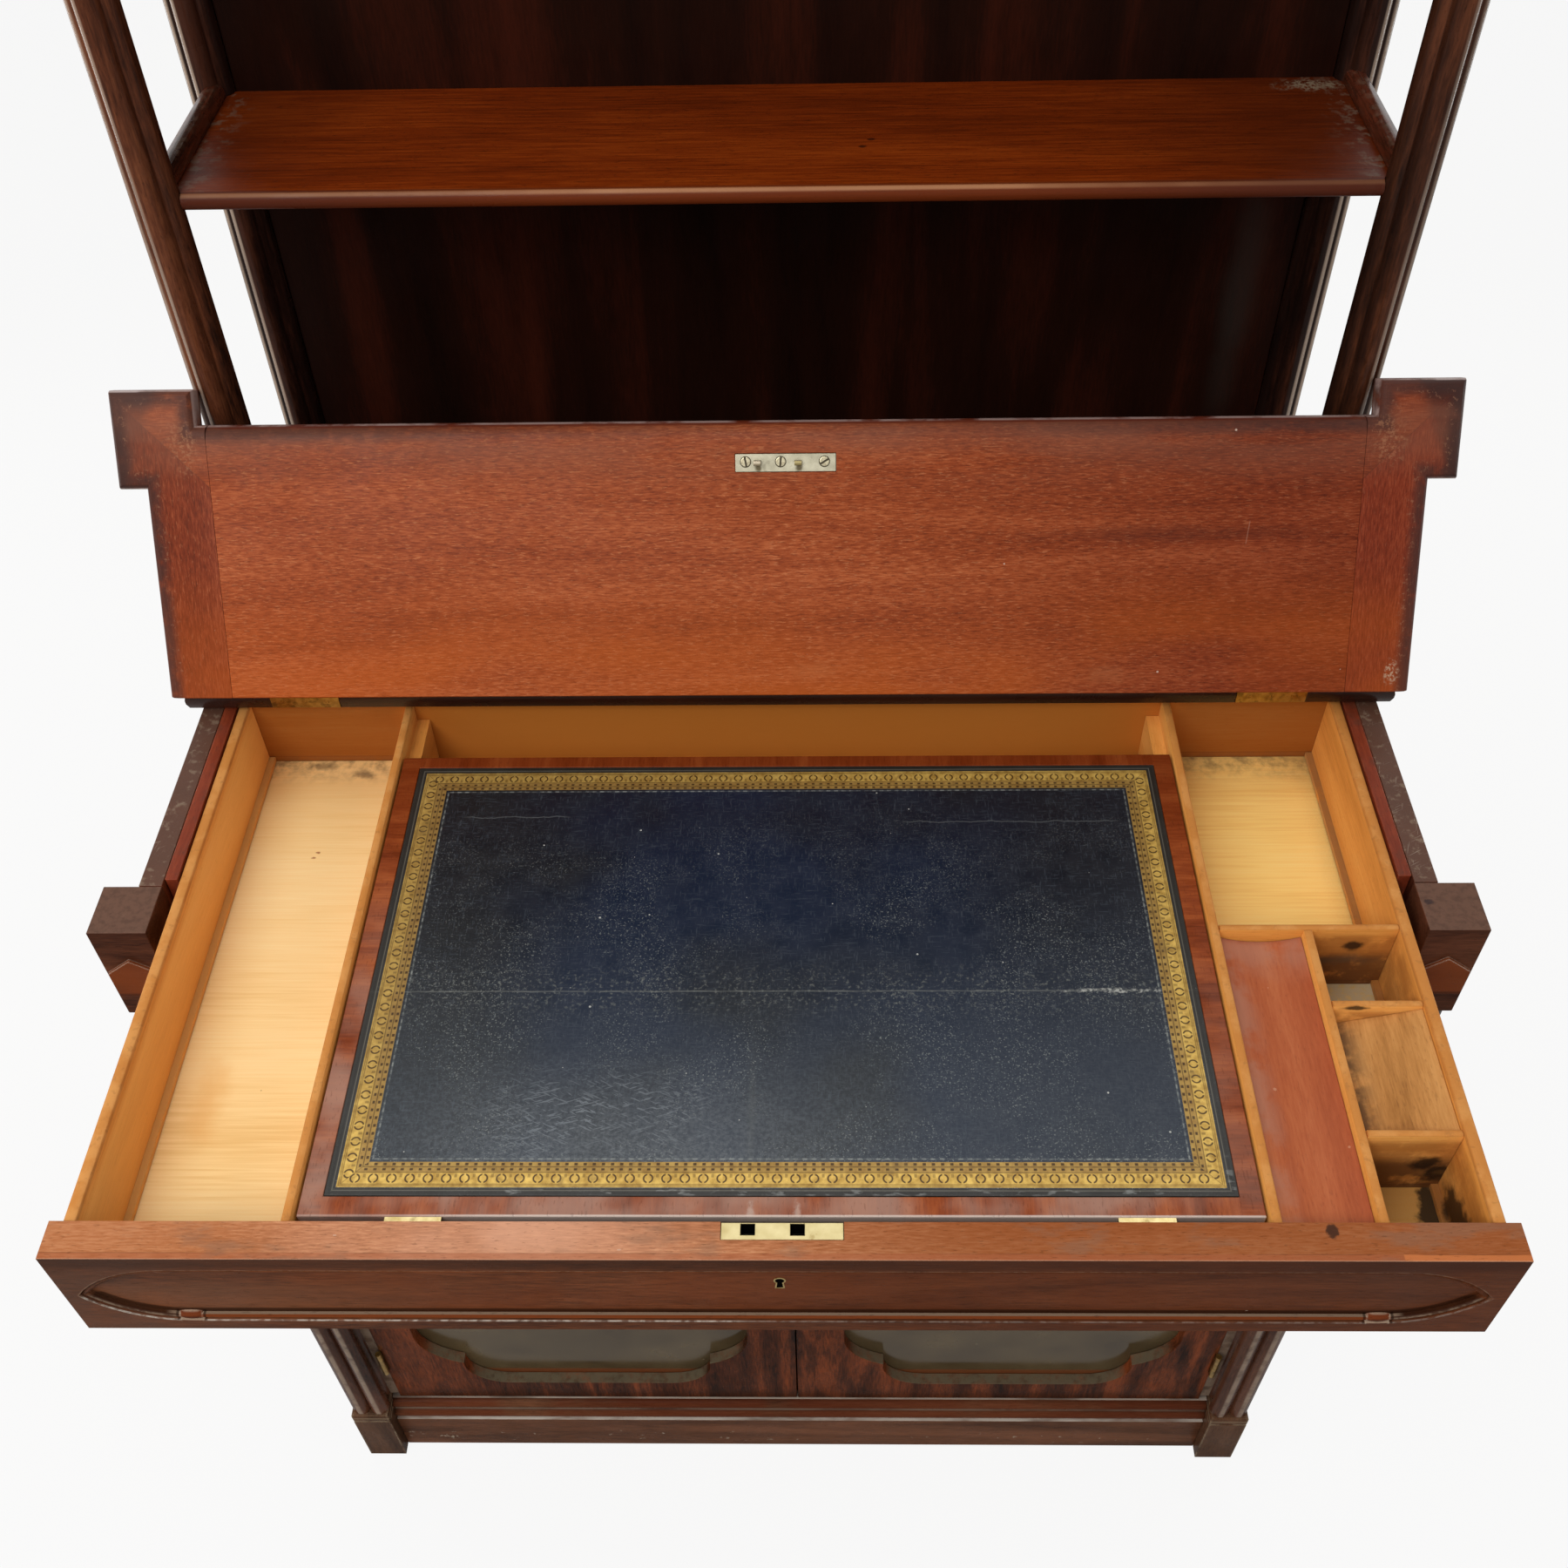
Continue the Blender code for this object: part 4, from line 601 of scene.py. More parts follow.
def lid_clamp_look(sign):
    paint = lid_wood("lid_clamp_wood")
    out = X * sign
    past_mitre = out + Y
    paint.lay(tone(ALONG_CLAMP, CLAMP_RED[sign]), past_mitre.ease(MITRE - 0.0002, MITRE + 0.0002))
    paint.pores("y", (184, 112, 76), 0.25, 0.6, 950)
    paint.lay((76, 42, 30), past_mitre.band(MITRE - 0.0006, MITRE + 0.0006, 0.0004), 0.35)
    border = lid_border(out)
    ear = (out - Y * 0.4).ease(0.478, 0.49)
    paint.lay((80, 43, 34), ear * noise(50).ease(0.25, 0.55, 0.5), 0.72)
    # Darker band in from the ear's edges: grime and painted shade.
    paint.lay((54, 38, 35), ear * border.ease(0.022, 0.008), 0.55)
    lid_shading(paint, border)
    # Painted highlight: a broken pale line along the outer end of the clamp and its ear.
    rim_highlight = border.band(-0.0002, 0.0012, 0.0004) * out.ease(LID_END - 0.004, LID_END)
    paint.lay((190, 174, 170), rim_highlight * patches(60, 0.3, 0.52), 0.7)
    paint.lay((164, 118, 90), border.band(0.007, 0.013, 0.004) * patches(420, 0.56, 0.66), 0.35)
    corner = spot((sign * 0.412, -0.1, LID_UNDERSIDE), (0.016, 0.024, 0.05), 0.7, 120, 0.8)
    paint.lay((168, 116, 84), corner * patches(500, 0.48, 0.62), 0.45)
    if sign > 0:
        dust = spot((0.4275, 0.06, LID_UNDERSIDE), (0.006, 0.012, 0.05), 0.9, 240, 0.7)
        paint.lay((190, 164, 136), dust * patches(500, 0.46, 0.6), 0.65)
    return paint


def polished(name, along):
    """Dark polished mahogany."""
    return wood(name, POLISHED, along, roughness=0.24, specular=0.22, coat=0.15, figure=30)


def post_look(name, sign, colours, shine):
    """Cluster post: painted shade on the inner side, and a painted highlight to the outer front of each
    shaft.
    """
    paint = wood(name, colours, "z", roughness=0.26, specular=0.06, coat=0.1, figure=40)
    # Painted shade on the faces that turn inward.
    paint.lay((22, 12, 9), facing((-sign, 0, 0), 0.25, 0.85), 0.6 if sign > 0 else 0.15)
    # Painted highlight where the shafts face outward and to the front.
    sheen = facing((0.72 * sign, -0.694, 0), 0.92, 0.995)
    broken = noise(14, drawn_out("z", 3)).ease(0.3, 0.6, 0.5)
    paint.lay((200, 174, 152), sheen * broken, shine)
    return paint


def superstructure_looks():
    for side, sign in SIDES:
        dress(post_look("front_post_wood", sign, POST_BROWN[sign], 0.5), f"post_front_{side}")
        dress(post_look("rear_post_wood", sign, REAR_POST_BROWN, 0.65), f"post_rear_{side}")

    back = wood(
        "back_wood", ((12, 6, 4), (32, 13, 7), (64, 25, 14)), "z", pores=0.3, contrast=0.7, roughness=0.36,
        specular=0.04, figure=20, swirl=0.4, fibre=0.25,
    )
    # Painted reflection: a soft pale sheen on the back next to the right rear post.
    back.lay((46, 41, 37), spot((0.345, 0.34, 1.1), (0.02, 0.1, 0.17), 0.3, 20, 0.9), 0.5)
    dress(back, "upper_back")

    shelf = wood(
        "shelf_wood", ((86, 29, 5), (114, 41, 7), (138, 57, 13)), "x", (58, 20, 6), 0.5, roughness=0.34,
        specular=0.08, figure=22, swirl=0.4, fibre=0.9, fine=520, broad=0.6, length=24,
    )
    shelf.lay((58, 22, 8), X.ease(0.18, 0.378), 0.6)
    shelf.lay((58, 22, 8), X.ease(-0.24, -0.378), 0.4)
    for x, y in ((0.0602, 0.2554), (0.0543, 0.2457)):
        shelf.lay((34, 14, 7), spot((x, y, SHELF_TOP), (0.0035, 0.0022, 0.01), 0.4, 300), 0.8)
    shelf.lay((112, 94, 78), OUT.ease(0.352, 0.383) * patches(150, 0.5, 0.64), 0.55)
    corner = spot((0.362, 0.328, SHELF_TOP), (0.03, 0.012, 0.02), 0.9, 120, 0.8)
    shelf.lay((136, 118, 96), corner * patches(420, 0.42, 0.56), 0.8)
    nosing = Y.ease(0.1958, 0.1946)
    shelf.lay((96, 42, 18), nosing, 0.85)
    shelf.lay((60, 27, 20), nosing * OUT.ease(0.12, 0.34), 0.6)
    lit_line = nosing * facing(UP, 0.45, 0.62) * facing(FRONT, 0.3, 0.45)
    lit_line = lit_line * OUT.ease(0.34, 0.12, 0.5)
    shelf.lay((190, 136, 96), lit_line * noise(9).ease(0.3, 0.6, 0.4), 0.6)
    dress(shelf, "middle_shelf")

    rails = polished("shelf_rail_wood", "y")
    rails.lay((112, 92, 74), facing(UP) * patches(140, 0.45, 0.62), 0.3)
    dress(rails, *pair("shelf_rail"))
    dress(polished("top_shelf_wood", "x"), "top_shelf")


def top_looks():
    top = wood("top_wood", TOP_BROWN, "x", roughness=0.28, specular=0.2, coat=0.15)
    top.lay((40, 22, 16), Y.ease(0.082, 0.078), 0.8)
    top.worn_edges((120, 84, 62), 0.4)
    dress(top, "fixed_top")
    dress(lid_panel_look(), "lid_panel", edge=LID_ROUNDING, joint=CLAMP_JOINT)
    for side, sign in SIDES:
        dress(lid_clamp_look(sign), f"lid_clamp_{side}", edge=LID_ROUNDING, joint=CLAMP_JOINT)


def block_look():
    """Frieze blocks: grey worn top, and a red-brown pointed tablet with a pale upper edge."""
    paint = wood(
        "frieze_block_wood", ((54, 29, 20), (84, 49, 33), (104, 62, 43)), "x",
        roughness=0.34, specular=0.02, figure=36,
    )
    tablet = Y.ease(-0.1286, -0.1292)
    paint.lay((120, 60, 28), tablet * noise(40).ease(0.2, 0.7, 0.6), 0.9)
    paint.lay((46, 26, 20), tablet * Z.ease(0.8475, 0.8445), 0.6)
    upper = Y.ease(-0.1283, -0.1287) * Z.ease(0.866, 0.868) * edges(0.0016)
    paint.lay((206, 192, 176), upper, 0.8)
    paint.lay((106, 79, 66), CASE_TOP, 0.9)
    paint.lay((74, 55, 47), CASE_TOP * patches(200, 0.42, 0.66), 0.45)
    dusty = spot((0, -0.112, FRONT_TOP), (0.46, 0.009, 0.02), 0.6, 140, 0.9)
    paint.lay((160, 132, 110), CASE_TOP * dusty * patches(420, 0.5, 0.62), 0.6)
    mark = spot((0.4227, -0.1048, FRONT_TOP), (0.004, 0.003, 0.01), 0.5, 300)
    paint.lay((36, 36, 42), mark, 0.6)
    paint.worn_edges((142, 112, 94), 0.5, 0.0014)
    return paint


def case_looks():
    columns = wood("column_wood", COLUMN_BROWN, "z", roughness=0.28, specular=0.04, coat=0.1)
    # Painted highlight down the front crest of each shaft.
    crest_highlights = facing(FRONT, 0.94, 0.995) * noise(60).ease(0.3, 0.6, 0.4)
    columns.lay((182, 160, 138), crest_highlights, 0.5)
    dress(columns, *pair("column"))

    sides = wood(
        "side_wood", ((52, 24, 15), (84, 42, 26), (110, 58, 36)), "z",
        roughness=0.3, specular=0.15, figure=14, swirl=2.2,
    )
    sides.lay((90, 62, 49), CASE_TOP, 0.9)
    sides.lay((138, 118, 98), CASE_TOP * patches(160, 0.54, 0.68), 0.5)
    for turn in (28, 74):
        scratches = strokes(radians(turn), 1200, 0.66, 20) * patches(60, 0.5, 0.62)
        sides.lay((172, 156, 138), CASE_TOP * scratches, 0.4)
    sides.worn_edges((128, 84, 60), 0.4, 0.0014)
    dress(sides, *pair("side_panel"))
    dress(block_look(), *pair("frieze_block"))

    red = ((92, 36, 20), (118, 48, 27), (140, 64, 38))
    guide = wood("guide_wood", red, "y", roughness=0.34, figure=26)
    guide.lay((84, 50, 36), patches(60, 0.5, 0.68), 0.5)
    guide.worn_edges((196, 120, 84), 0.5, 0.0012)
    dress(guide, *pair("drawer_guide"))

    brown = ((60, 26, 12), (92, 44, 20), (120, 62, 30))
    inside = wood("cupboard_wood", brown, "x", roughness=0.5, figure=20)
    inside.lay((112, 96, 78), facing(UP) * patches(30, 0.45, 0.7), 0.5)
    dress(inside, "cupboard_shelf", "cupboard_floor", "drawer_dustboard")

    yellow = ((120, 84, 50), (156, 112, 70), (180, 136, 90))
    pine = wood("pine", yellow, "z", (96, 60, 32), 0.3, roughness=0.7, figure=12)
    pine.lay((84, 66, 50), patches(6, 0.5, 0.75), 0.5)
    pine.lay((70, 50, 34), specks(0.16, 0.01, (1, 1, 0.5)), 0.8)
    dress(pine, "base_back")


# The plinth's pale arrises, worn and with a painted highlight where they face up: from and up to which
# height, colour and strength
PLINTH_ARRISES = (
    (0.064, 0.0682, (222, 212, 198), 0.75),
    (0.0812, 0.0846, (176, 156, 134), 0.8),
    (0.0964, 0.099, (206, 192, 176), 0.6),
)


def plinth_looks():
    looks = dict(roughness=0.32, specular=0.02)
    plinth = wood("plinth_wood", PLINTH_BROWN, "x", figure=24, **looks)
    beads = Z.ease(0.066, 0.069)
    plinth.lay((96, 42, 22), beads * noise(12).ease(0.3, 0.55), 0.6)
    # Painted shade in the quirks between the beads.
    plinth.lay((32, 19, 13), beads * corners(0.01, 0.85, 0.35), 0.75)
    lit = facing(UP, 0.45, 0.85)
    wear_and_highlight = noise(60, drawn_out("x", 4)).ease(0.32, 0.6, 0.25)
    for low, high, colour, strength in PLINTH_ARRISES:
        plinth.lay(colour, lit * wear_and_highlight * Z.band(low, high, 0.0004), strength)
    scuffs = patches(90, 0.63, 0.7) * Z.band(0.012, 0.034, 0.01)
    plinth.lay((196, 182, 160), scuffs, 0.6)
    dress(plinth, "plinth_front")
    ends = wood("plinth_side_wood", PLINTH_BROWN, "y", figure=24, **looks)
    ends.worn_edges((150, 118, 96), 0.4, 0.0014)
    dress(ends, *pair("plinth_side"))
    brown = ((52, 33, 22), (80, 54, 38), (102, 70, 50))
    blocks = wood("plinth_block_wood", brown, "z", figure=30, **looks)
    blocks.lay((158, 140, 112), Z.band(0.0945, 0.0965, 0.0004), 0.55)
    blocks.lay((176, 156, 128), edges(0.004, 0.01, 0.16) * patches(60, 0.36, 0.56), 0.6)
    dress(blocks, *pair("plinth_block"))


def door_looks():
    door = wood(
        "door_wood", ((36, 18, 11), (84, 42, 23), (132, 66, 35)), "z", contrast=1.1,
        roughness=0.3, specular=0.02, figure=16, swirl=3,
    )
    door.lay((50, 28, 18), facing(FRONT) * Z.ease(0.126, 0.108), 0.5)
    door.lay((34, 20, 14), corners(0.012) * facing(FRONT), 0.4)
    ledge = facing(UP, 0.3, 0.7) * Z.band(0.11, 0.75, 0.01)
    door.lay((102, 92, 73), ledge * noise(160).ease(0.25, 0.6, 0.5), 0.9)
    door.worn_edges((120, 78, 52), 0.35, 0.0012)
    dress(door, *pair("door"))

    glass = Paint("old_glass", 0.1, specular=0.06)
    dusty = noise(14, detail=5)
    glass.tint = ramp(dusty, (0.3, (84, 68, 44)), (0.7, (120, 102, 72)))
    # Painted reflection: reddish brown along the foot of the glass.
    glass.lay((150, 80, 42), Z.ease(0.147, 0.141), 0.8)
    glass.lay((150, 138, 112), specks(0.03, 0.0016), 0.6)
    glass.set("Transmission Weight", 0.4)
    glass.set("Roughness", dusty.ease(0.3, 0.7, 0.1, 0.22))
    glass.height = noise(6, detail=0)
    dress(glass, *pair("glass"), edge=FINE_EDGE_WIDTH)


# Sunk panel of the drawer front: its middle height, straight half length and the arcs of its pointed ends
SUNK_MIDDLE = 0.8637
SUNK_STRAIGHT = 0.349
SUNK_ARC = 0.0671
SUNK_ARC_DROP = 0.0351


def sunk_panel_trim(paint):
    """Colour the bead, collars and lip of the sunk panel, with wear, painted highlights and painted shade,
    by the distance in from its outline.
    """
    past = most(OUT - SUNK_STRAIGHT, 0)
    rise = abs(Z - SUNK_MIDDLE) + SUNK_ARC_DROP
    inward = SUNK_ARC - math("SQRT", past * past + rise * rise)
    low = Z.ease(SUNK_MIDDLE, SUNK_MIDDLE - 0.004)
    straight = OUT.ease(SUNK_STRAIGHT + 0.012, SUNK_STRAIGHT)
    lip = Y.ease(-0.3557, -0.3562)
    proud = Y.ease(SUNK_FACE - 0.0002, SUNK_FACE - 0.0005)

    def line(start, end, soft=0.0004):
        return inward.band(start, end, soft)

    wear_and_highlight = noise(260, detail=4).ease(0.38, 0.6, 0.2)
    bead = low * proud * line(0.0003, 0.0052)
    # Painted shade in the hollow above the bead.
    paint.lay((28, 15, 9), low * line(0.003, 0.0085, 0.001), 0.75)
    paint.lay((118, 58, 28), bead * straight * facing(FRONT, 0.05, 0.35), 0.9)
    dull = 1 - straight
    paint.lay((62, 38, 28), bead * dull * facing(FRONT, 0.05, 0.35), 0.8)
    # Painted highlight along the bead's crest.
    paint.lay((168, 142, 118), bead * facing(UP, 0.97, 0.99), 0.5)
    # Painted highlight along the bead where it follows the pointed ends.
    paint.lay((156, 134, 112), low * dull * wear_and_highlight * proud * line(0.0028, 0.0038, 0.0005), 0.5)
    # Pale line along the lip, brightest on the left: wear and a painted highlight.
    bright_left = X.ease(-0.018, -0.034, 0.28)
    paint.lay((216, 208, 194), low * wear_and_highlight * lip * bright_left * line(-0.0006, 0.0004, 0.0003), 0.65)
    paint.lay((142, 112, 90), (1 - low) * wear_and_highlight * line(-0.0007, 0.0002, 0.0003), 0.5)
    off_collar = abs(OUT - SUNK_STRAIGHT)
    collar = low * proud * off_collar.ease(0.0074, 0.0068) * line(-0.001, 0.0076, 0.0006)
    paint.lay((112, 54, 28), collar, 0.9)
    # Painted shade on the lower half of each collar.
    paint.lay((50, 25, 14), collar * facing((0, -0.8, -0.6), 0.35, 0.9), 0.65)
    paint.lay((172, 158, 138), collar * off_collar.band(0.006, 0.007, 0.0003) * wear_and_highlight, 0.5)
    # Painted highlight on top of each collar.
    paint.lay((186, 166, 142), collar * facing(UP, 0.8, 0.97), 0.6)
    # Painted shade in the grooves on either side of each collar.
    collar_groove_shade = low * off_collar.band(0.0073, 0.0088, 0.0004) * line(-0.0002, 0.0062)
    paint.lay((26, 14, 9), collar_groove_shade, 0.7)


def drawer_front_look():
    paint = Paint("drawer_front_wood", 0.32, specular=0.02)
    on_top = facing(UP) * Z.ease(0.9065, 0.9085)
    figured = grain("x", figure=30, fibre=1, fine=800, broad=0.7, length=8)
    top = tone(figured, ((142, 86, 52), (174, 111, 74), (200, 140, 100)))
    paint.tint = tone(grain("x", figure=24, fibre=0.8), ((64, 34, 19), (98, 54, 30), (126, 70, 40)))
    sunk = Y.ease(-0.3548, -0.3535)
    paint.lay((112, 54, 24), sunk * OUT.ease(0.4, 0.15) * patches(22, 0.3, 0.6), 0.5)
    paint.lay((86, 62, 50), OUT.ease(0.24, 0.4) * noise(16).ease(0.25, 0.6), 0.6)
    paint.lay((50, 30, 21), Z.ease(0.893, 0.902), 0.6)
    paint.lay((80, 36, 15), X.ease(-0.12, 0.2), 0.42)
    paint.lay((134, 86, 58), sunk * X.ease(-0.14, -0.32) * Z.ease(0.88, 0.862), 0.34)
    sunk_panel_trim(paint)
    paint.lay(top, on_top)
    paler = X.band(-0.24, -0.08, 0.08) * noise(20).ease(0.3, 0.62, 0.5)
    paint.lay((216, 164, 134), on_top * paler, 0.65)
    paint.lay((164, 98, 56), on_top * X.ease(-0.26, -0.33), 0.45)
    paint.lay((136, 70, 30), on_top * X.ease(-0.06, 0.14), 0.74)
    strip = on_top * Y.ease(-0.3526, -0.3529)
    paint.lay((158, 88, 58), strip, 0.5)
    paint.lay((190, 112, 64), strip * X.ease(0.3445, 0.3455), 0.8)
    paint.lay((84, 50, 34), on_top * Y.band(-0.353, -0.3526, 0.0003) * patches(24, 0.38, 0.55), 0.55)
    smudges = on_top * patches(60, 0.52, 0.66, drawn_out("x", 3))
    paint.lay((130, 98, 78), smudges, 0.45)
    mark = spot((0.309, -0.3385, FRONT_TOP), (0.0042, 0.0058, 0.01), 0.5, 300, 0.4)
    paint.lay((46, 33, 28), mark, 0.85)
    paint.lay((212, 168, 138), Z.ease(0.9075, 0.909) * Y.ease(-0.355, -0.356) * edges(0.0014), 0.65)
    paint.lay((206, 180, 160), specks(0.03, 0.0014, (0.4, 1, 1)), 0.45)
    paint.pores("x", (52, 28, 16), 0.3)
    paint.uneven(0.08)
    return paint


def cedar_look(name, along):
    """Drawer lining: pale worn tops, and grey dusty strips with a dark line at the foot."""
    paint = wood(
        name, CEDAR, along, (176, 104, 42), 0.3, 0.8,
        roughness=0.5, specular=0.1, figure=18, fibre=0.45, length=20,
    )
    paint.lay((176, 140, 96), Z.ease(0.852, 0.85) * patches(90, 0.3, 0.55), 0.6)
    paint.lay((132, 84, 42), Z.band(0.8502, 0.8509, 0.0003), 0.7)
    worn_top = Z.ease(CEDAR_TOP, CEDAR_TOP + 0.0012)
    paint.lay((186, 120, 58), worn_top, 0.85)
    paint.lay((214, 154, 88), worn_top * patches(40, 0.44, 0.62), 0.5)
    paint.lay((130, 76, 34), worn_top * edges(0.0018), 0.7)
    paint.lay((150, 98, 52), worn_top * patches(220, 0.56, 0.68), 0.35)
    return paint


def stained_cedar():
    """Cross boards: the drawer's back is darker, and the boards of the ink wells are stained."""
    paint = cedar_look("cross_cedar", "x")
    paint.lay((130, 66, 18), Y.ease(0, 0.08), 0.8)
    paint.lay((200, 120, 46), Y.ease(0, 0.08) * OUT.ease(0.3, 0.27), 0.8)
    wells = IN_WELLS * Y.ease(-0.08, -0.1)
    paint.lay((150, 88, 38), wells * Z.ease(0.904, 0.896) * patches(50, 0.25, 0.55), 0.65)
    paint.lay((78, 46, 28), wells * Z.ease(0.886, 0.872) * patches(70, 0.3, 0.5), 0.75)
    paint.lay((96, 74, 54), spot((0.37, -0.1248, 0.874), (0.032, 0.004, 0.008), 0.7, 90, 0.9), 0.7)
    stains = (
        ((0.3735, -0.1248, 0.889), (0.0088, 0.004, 0.0066)),
        ((0.358, -0.1848, 0.904), (0.012, 0.004, 0.0024)),
        ((0.386, -0.2768, 0.875), (0.012, 0.004, 0.0105)),
        ((0.396, -0.2768, 0.864), (0.011, 0.004, 0.014)),
    )
    for centre, reach in stains:
        paint.lay((26, 20, 17), spot(centre, reach, 0.5, 130, 0.6), 0.88)
    return paint


def side_cedar():
    """Long boards: paler on the left, and soiled and stained by the ink wells."""
    paint = cedar_look("cedar", "y")
    below = Z.ease(0.904, 0.896)
    paint.lay((246, 188, 106), X.ease(-0.38, -0.39) * below, 0.45)
    wells = X.ease(0.338, 0.34) * Y.ease(-0.115, -0.125) * below
    paint.lay((150, 90, 40), wells * patches(40, 0.28, 0.6), 0.6)
    stain = spot((0.4002, -0.307, 0.862), (0.004, 0.03, 0.018), 0.8, 90, 0.5)
    paint.lay((26, 20, 17), stain, 0.85)
    return paint


def drawer_floor_look():
    paint = Paint("drawer_floor_wood", 0.55, specular=0.12)
    lines = noise(640, drawn_out("x", 40), 2, 0.5)
    value = lines * 0.35 + (noise(14, drawn_out("x", 4), 3) * 0.5 + 0.075)
    paint.tint = tone(value, ((226, 180, 108), (246, 210, 146), (252, 224, 166)))
    paint.lay((228, 178, 104), Y.ease(-0.02, 0.085) * X.ease(0.1, -0.1), 0.55)
    right = X.ease(0.1, 0.25)
    paint.lay(tone(value, ((240, 182, 94), (255, 214, 126), (255, 224, 146))), right)
    paint.lay((112, 80, 44), right * corners(0.04, 0.75, 0.4), 0.5)
    paint.lay((230, 168, 90), spot((-0.372, -0.215, FLOOR_TOP), (0.016, 0.045, 0.01), 0.6, 40, 0.8), 0.4)
    paint.lay((120, 84, 50), corners(0.016, 0.62, 0.25), 0.45)
    dirt = Y.ease(0.058, 0.088) * patches(110, 0.36, 0.72)
    paint.lay((86, 68, 50), dirt, 0.65)
    for x, y in ((-0.359, 0.0824), (-0.3234, 0.0729)):
        paint.lay((70, 56, 44), spot((x, y, FLOOR_TOP), (0.012, 0.006, 0.01), 0.8, 160, 0.8), 0.6)
    for x, y in ((-0.3463, -0.0101), (-0.344, -0.005)):
        paint.lay((150, 78, 44), spot((x, y, FLOOR_TOP), (0.0022, 0.0012, 0.01), 0.6, 500), 0.8)
    paint.lay((100, 68, 40), specks(0.03, 0.0016), 0.7)
    rear_well = IN_WELLS * Y.band(-0.1815, -0.1235, 0.001)
    paint.lay((192, 174, 140), rear_well * patches(240, 0.25, 0.55), 0.85)
    front_well = IN_WELLS * Y.ease(-0.274, -0.276)
    paint.lay((198, 136, 66), front_well, 0.7)
    ink = spot((0.394, -0.305, FLOOR_TOP), (0.014, 0.034, 0.02), 0.8, 90, 0.4)
    paint.lay((30, 24, 21), front_well * ink, 0.92)
    paint.height = lines
    paint.uneven(0.06)
    return paint


def drawer_looks():
    dress(drawer_front_look(), "drawer_front")
    dress(side_cedar(), *pair("drawer_side"), *pair("partition"), "pen_divider")
    dress(stained_cedar(), "drawer_back", "cross_divider", "ink_divider_rear", "ink_divider_front")
    dress(drawer_floor_look(), "drawer_bottom")

    red = ((146, 70, 40), (168, 88, 52), (184, 106, 66))
    tray = wood("pen_tray_wood", red, "y", (120, 60, 40), 0.25, roughness=0.5, figure=20, fibre=0.4)
    dull = most(X.ease(0.306, 0.288), Y.ease(-0.165, -0.13))
    tray.lay((168, 116, 94), dull * patches(40, 0.32, 0.58), 0.7)
    tray.lay((188, 98, 48), spot((0.325, -0.207, 0.862), (0.012, 0.07, 0.03), 0.4, 30, 0.9), 0.5)
    tray.lay((80, 44, 30), corners(0.01), 0.4)
    tray.lay((206, 160, 130), specks(0.012, 0.0012), 0.4)
    dress(tray, "pen_tray")


def slope_look():
    paint = Paint("slope_wood", 0.3, specular=0.06)
    at_ends = OUT.ease(0.263, 0.2636)
    beside = grain("x", figure=60, swirl=0.8, fibre=0.5)
    before = grain("y", figure=60, swirl=0.8, fibre=0.5)
    paint.tint = tone(pick(at_ends, before, beside), ((96, 38, 14), (134, 62, 28), (164, 86, 42)), 0.9)
    paint.lay((98, 34, 6), Y.ease(-0.08, 0.03), 0.6)
    # Paler, greyer toward the front: worn polish with a painted sheen.
    near_front = Y.ease(-0.04, -0.28)
    paint.lay((162, 128, 112), near_front * X.ease(0.2, 0.264, 1, 0.35) * noise(20).ease(0.3, 0.62), 0.72)
    for x in (-0.0158, 0.0106):
        rub = spot((x, -0.3225, SLOPE_TOP), (0.003, 0.007, 0.01), 0.8, 260, 0.8)
        paint.lay((196, 178, 164), rub, 0.45)
    # Painted highlight along the rounded front edge.
    front_edge_highlight = Y.ease(-0.3252, -0.326) * X.ease(-0.24, -0.16, 0.35)
    paint.lay((214, 198, 186), front_edge_highlight, 0.75)
    paint.lay((40, 18, 10), Z.ease(0.8985, 0.8955), 0.5)
    paint.pores("y", (60, 24, 10), 0.25)
    paint.uneven(0.08)
    return paint


def gilt_border():
    """Distance in from the outer edge, and masks of the gold, its inner rows, the tooling and the dots."""
    side = GILT_X - OUT
    end = least(Y - GILT_FRONT, GILT_REAR - Y)
    inward = least(side, end)
    along = pick(math("LESS_THAN", side, end), X + RING_SHIFT, Y)

    def repeat(pitch):
        """Distance along from the middle of the nearest repeat."""
        return math("WRAP", along, pitch / 2, -pitch / 2)

    ring_along = repeat(RING_PITCH)
    ring_across = inward - RING_ROW
    squares = ring_along * ring_along + ring_across * ring_across
    ring = math("SQRT", squares).band(RING_RADIUS - 0.0005, RING_RADIUS + 0.0005, 0.0002)
    tooling = ring * abs(ring_along).ease(0.0002, 0.001)
    between = RING_PITCH / 2 - abs(ring_along)
    hook = between.ease(0.001, 0.0006) * inward.band(0.0064, 0.0088, 0.0003)
    tooling = most(tooling, hook * 0.5)
    dash_along = abs(repeat(RING_PITCH / 2))
    for low, high in DASH_ROWS:
        tooling = most(tooling, inward.band(low, high, 0.0003) * dash_along.ease(0.0013, 0.0007))
    for line, dark in GILT_LINES:
        tooling = most(tooling, inward.band(line - 0.0003, line + 0.0003, 0.0003) * dark)
    tooling = most(tooling, (side - end).band(-0.0003, 0.0003, 0.0003) * 0.6)
    gold = inward.band(0, GILT_WIDTH, 0.0003)
    inner_rows = inward.ease(0.0093, 0.01)
    dots = dash_along.ease(0.0018, 0.001, 0.3)
    blind = dots * inward.band(BLIND_LINE - 0.0005, BLIND_LINE + 0.0005, 0.0003)
    return inward, gold, inner_rows, tooling, blind


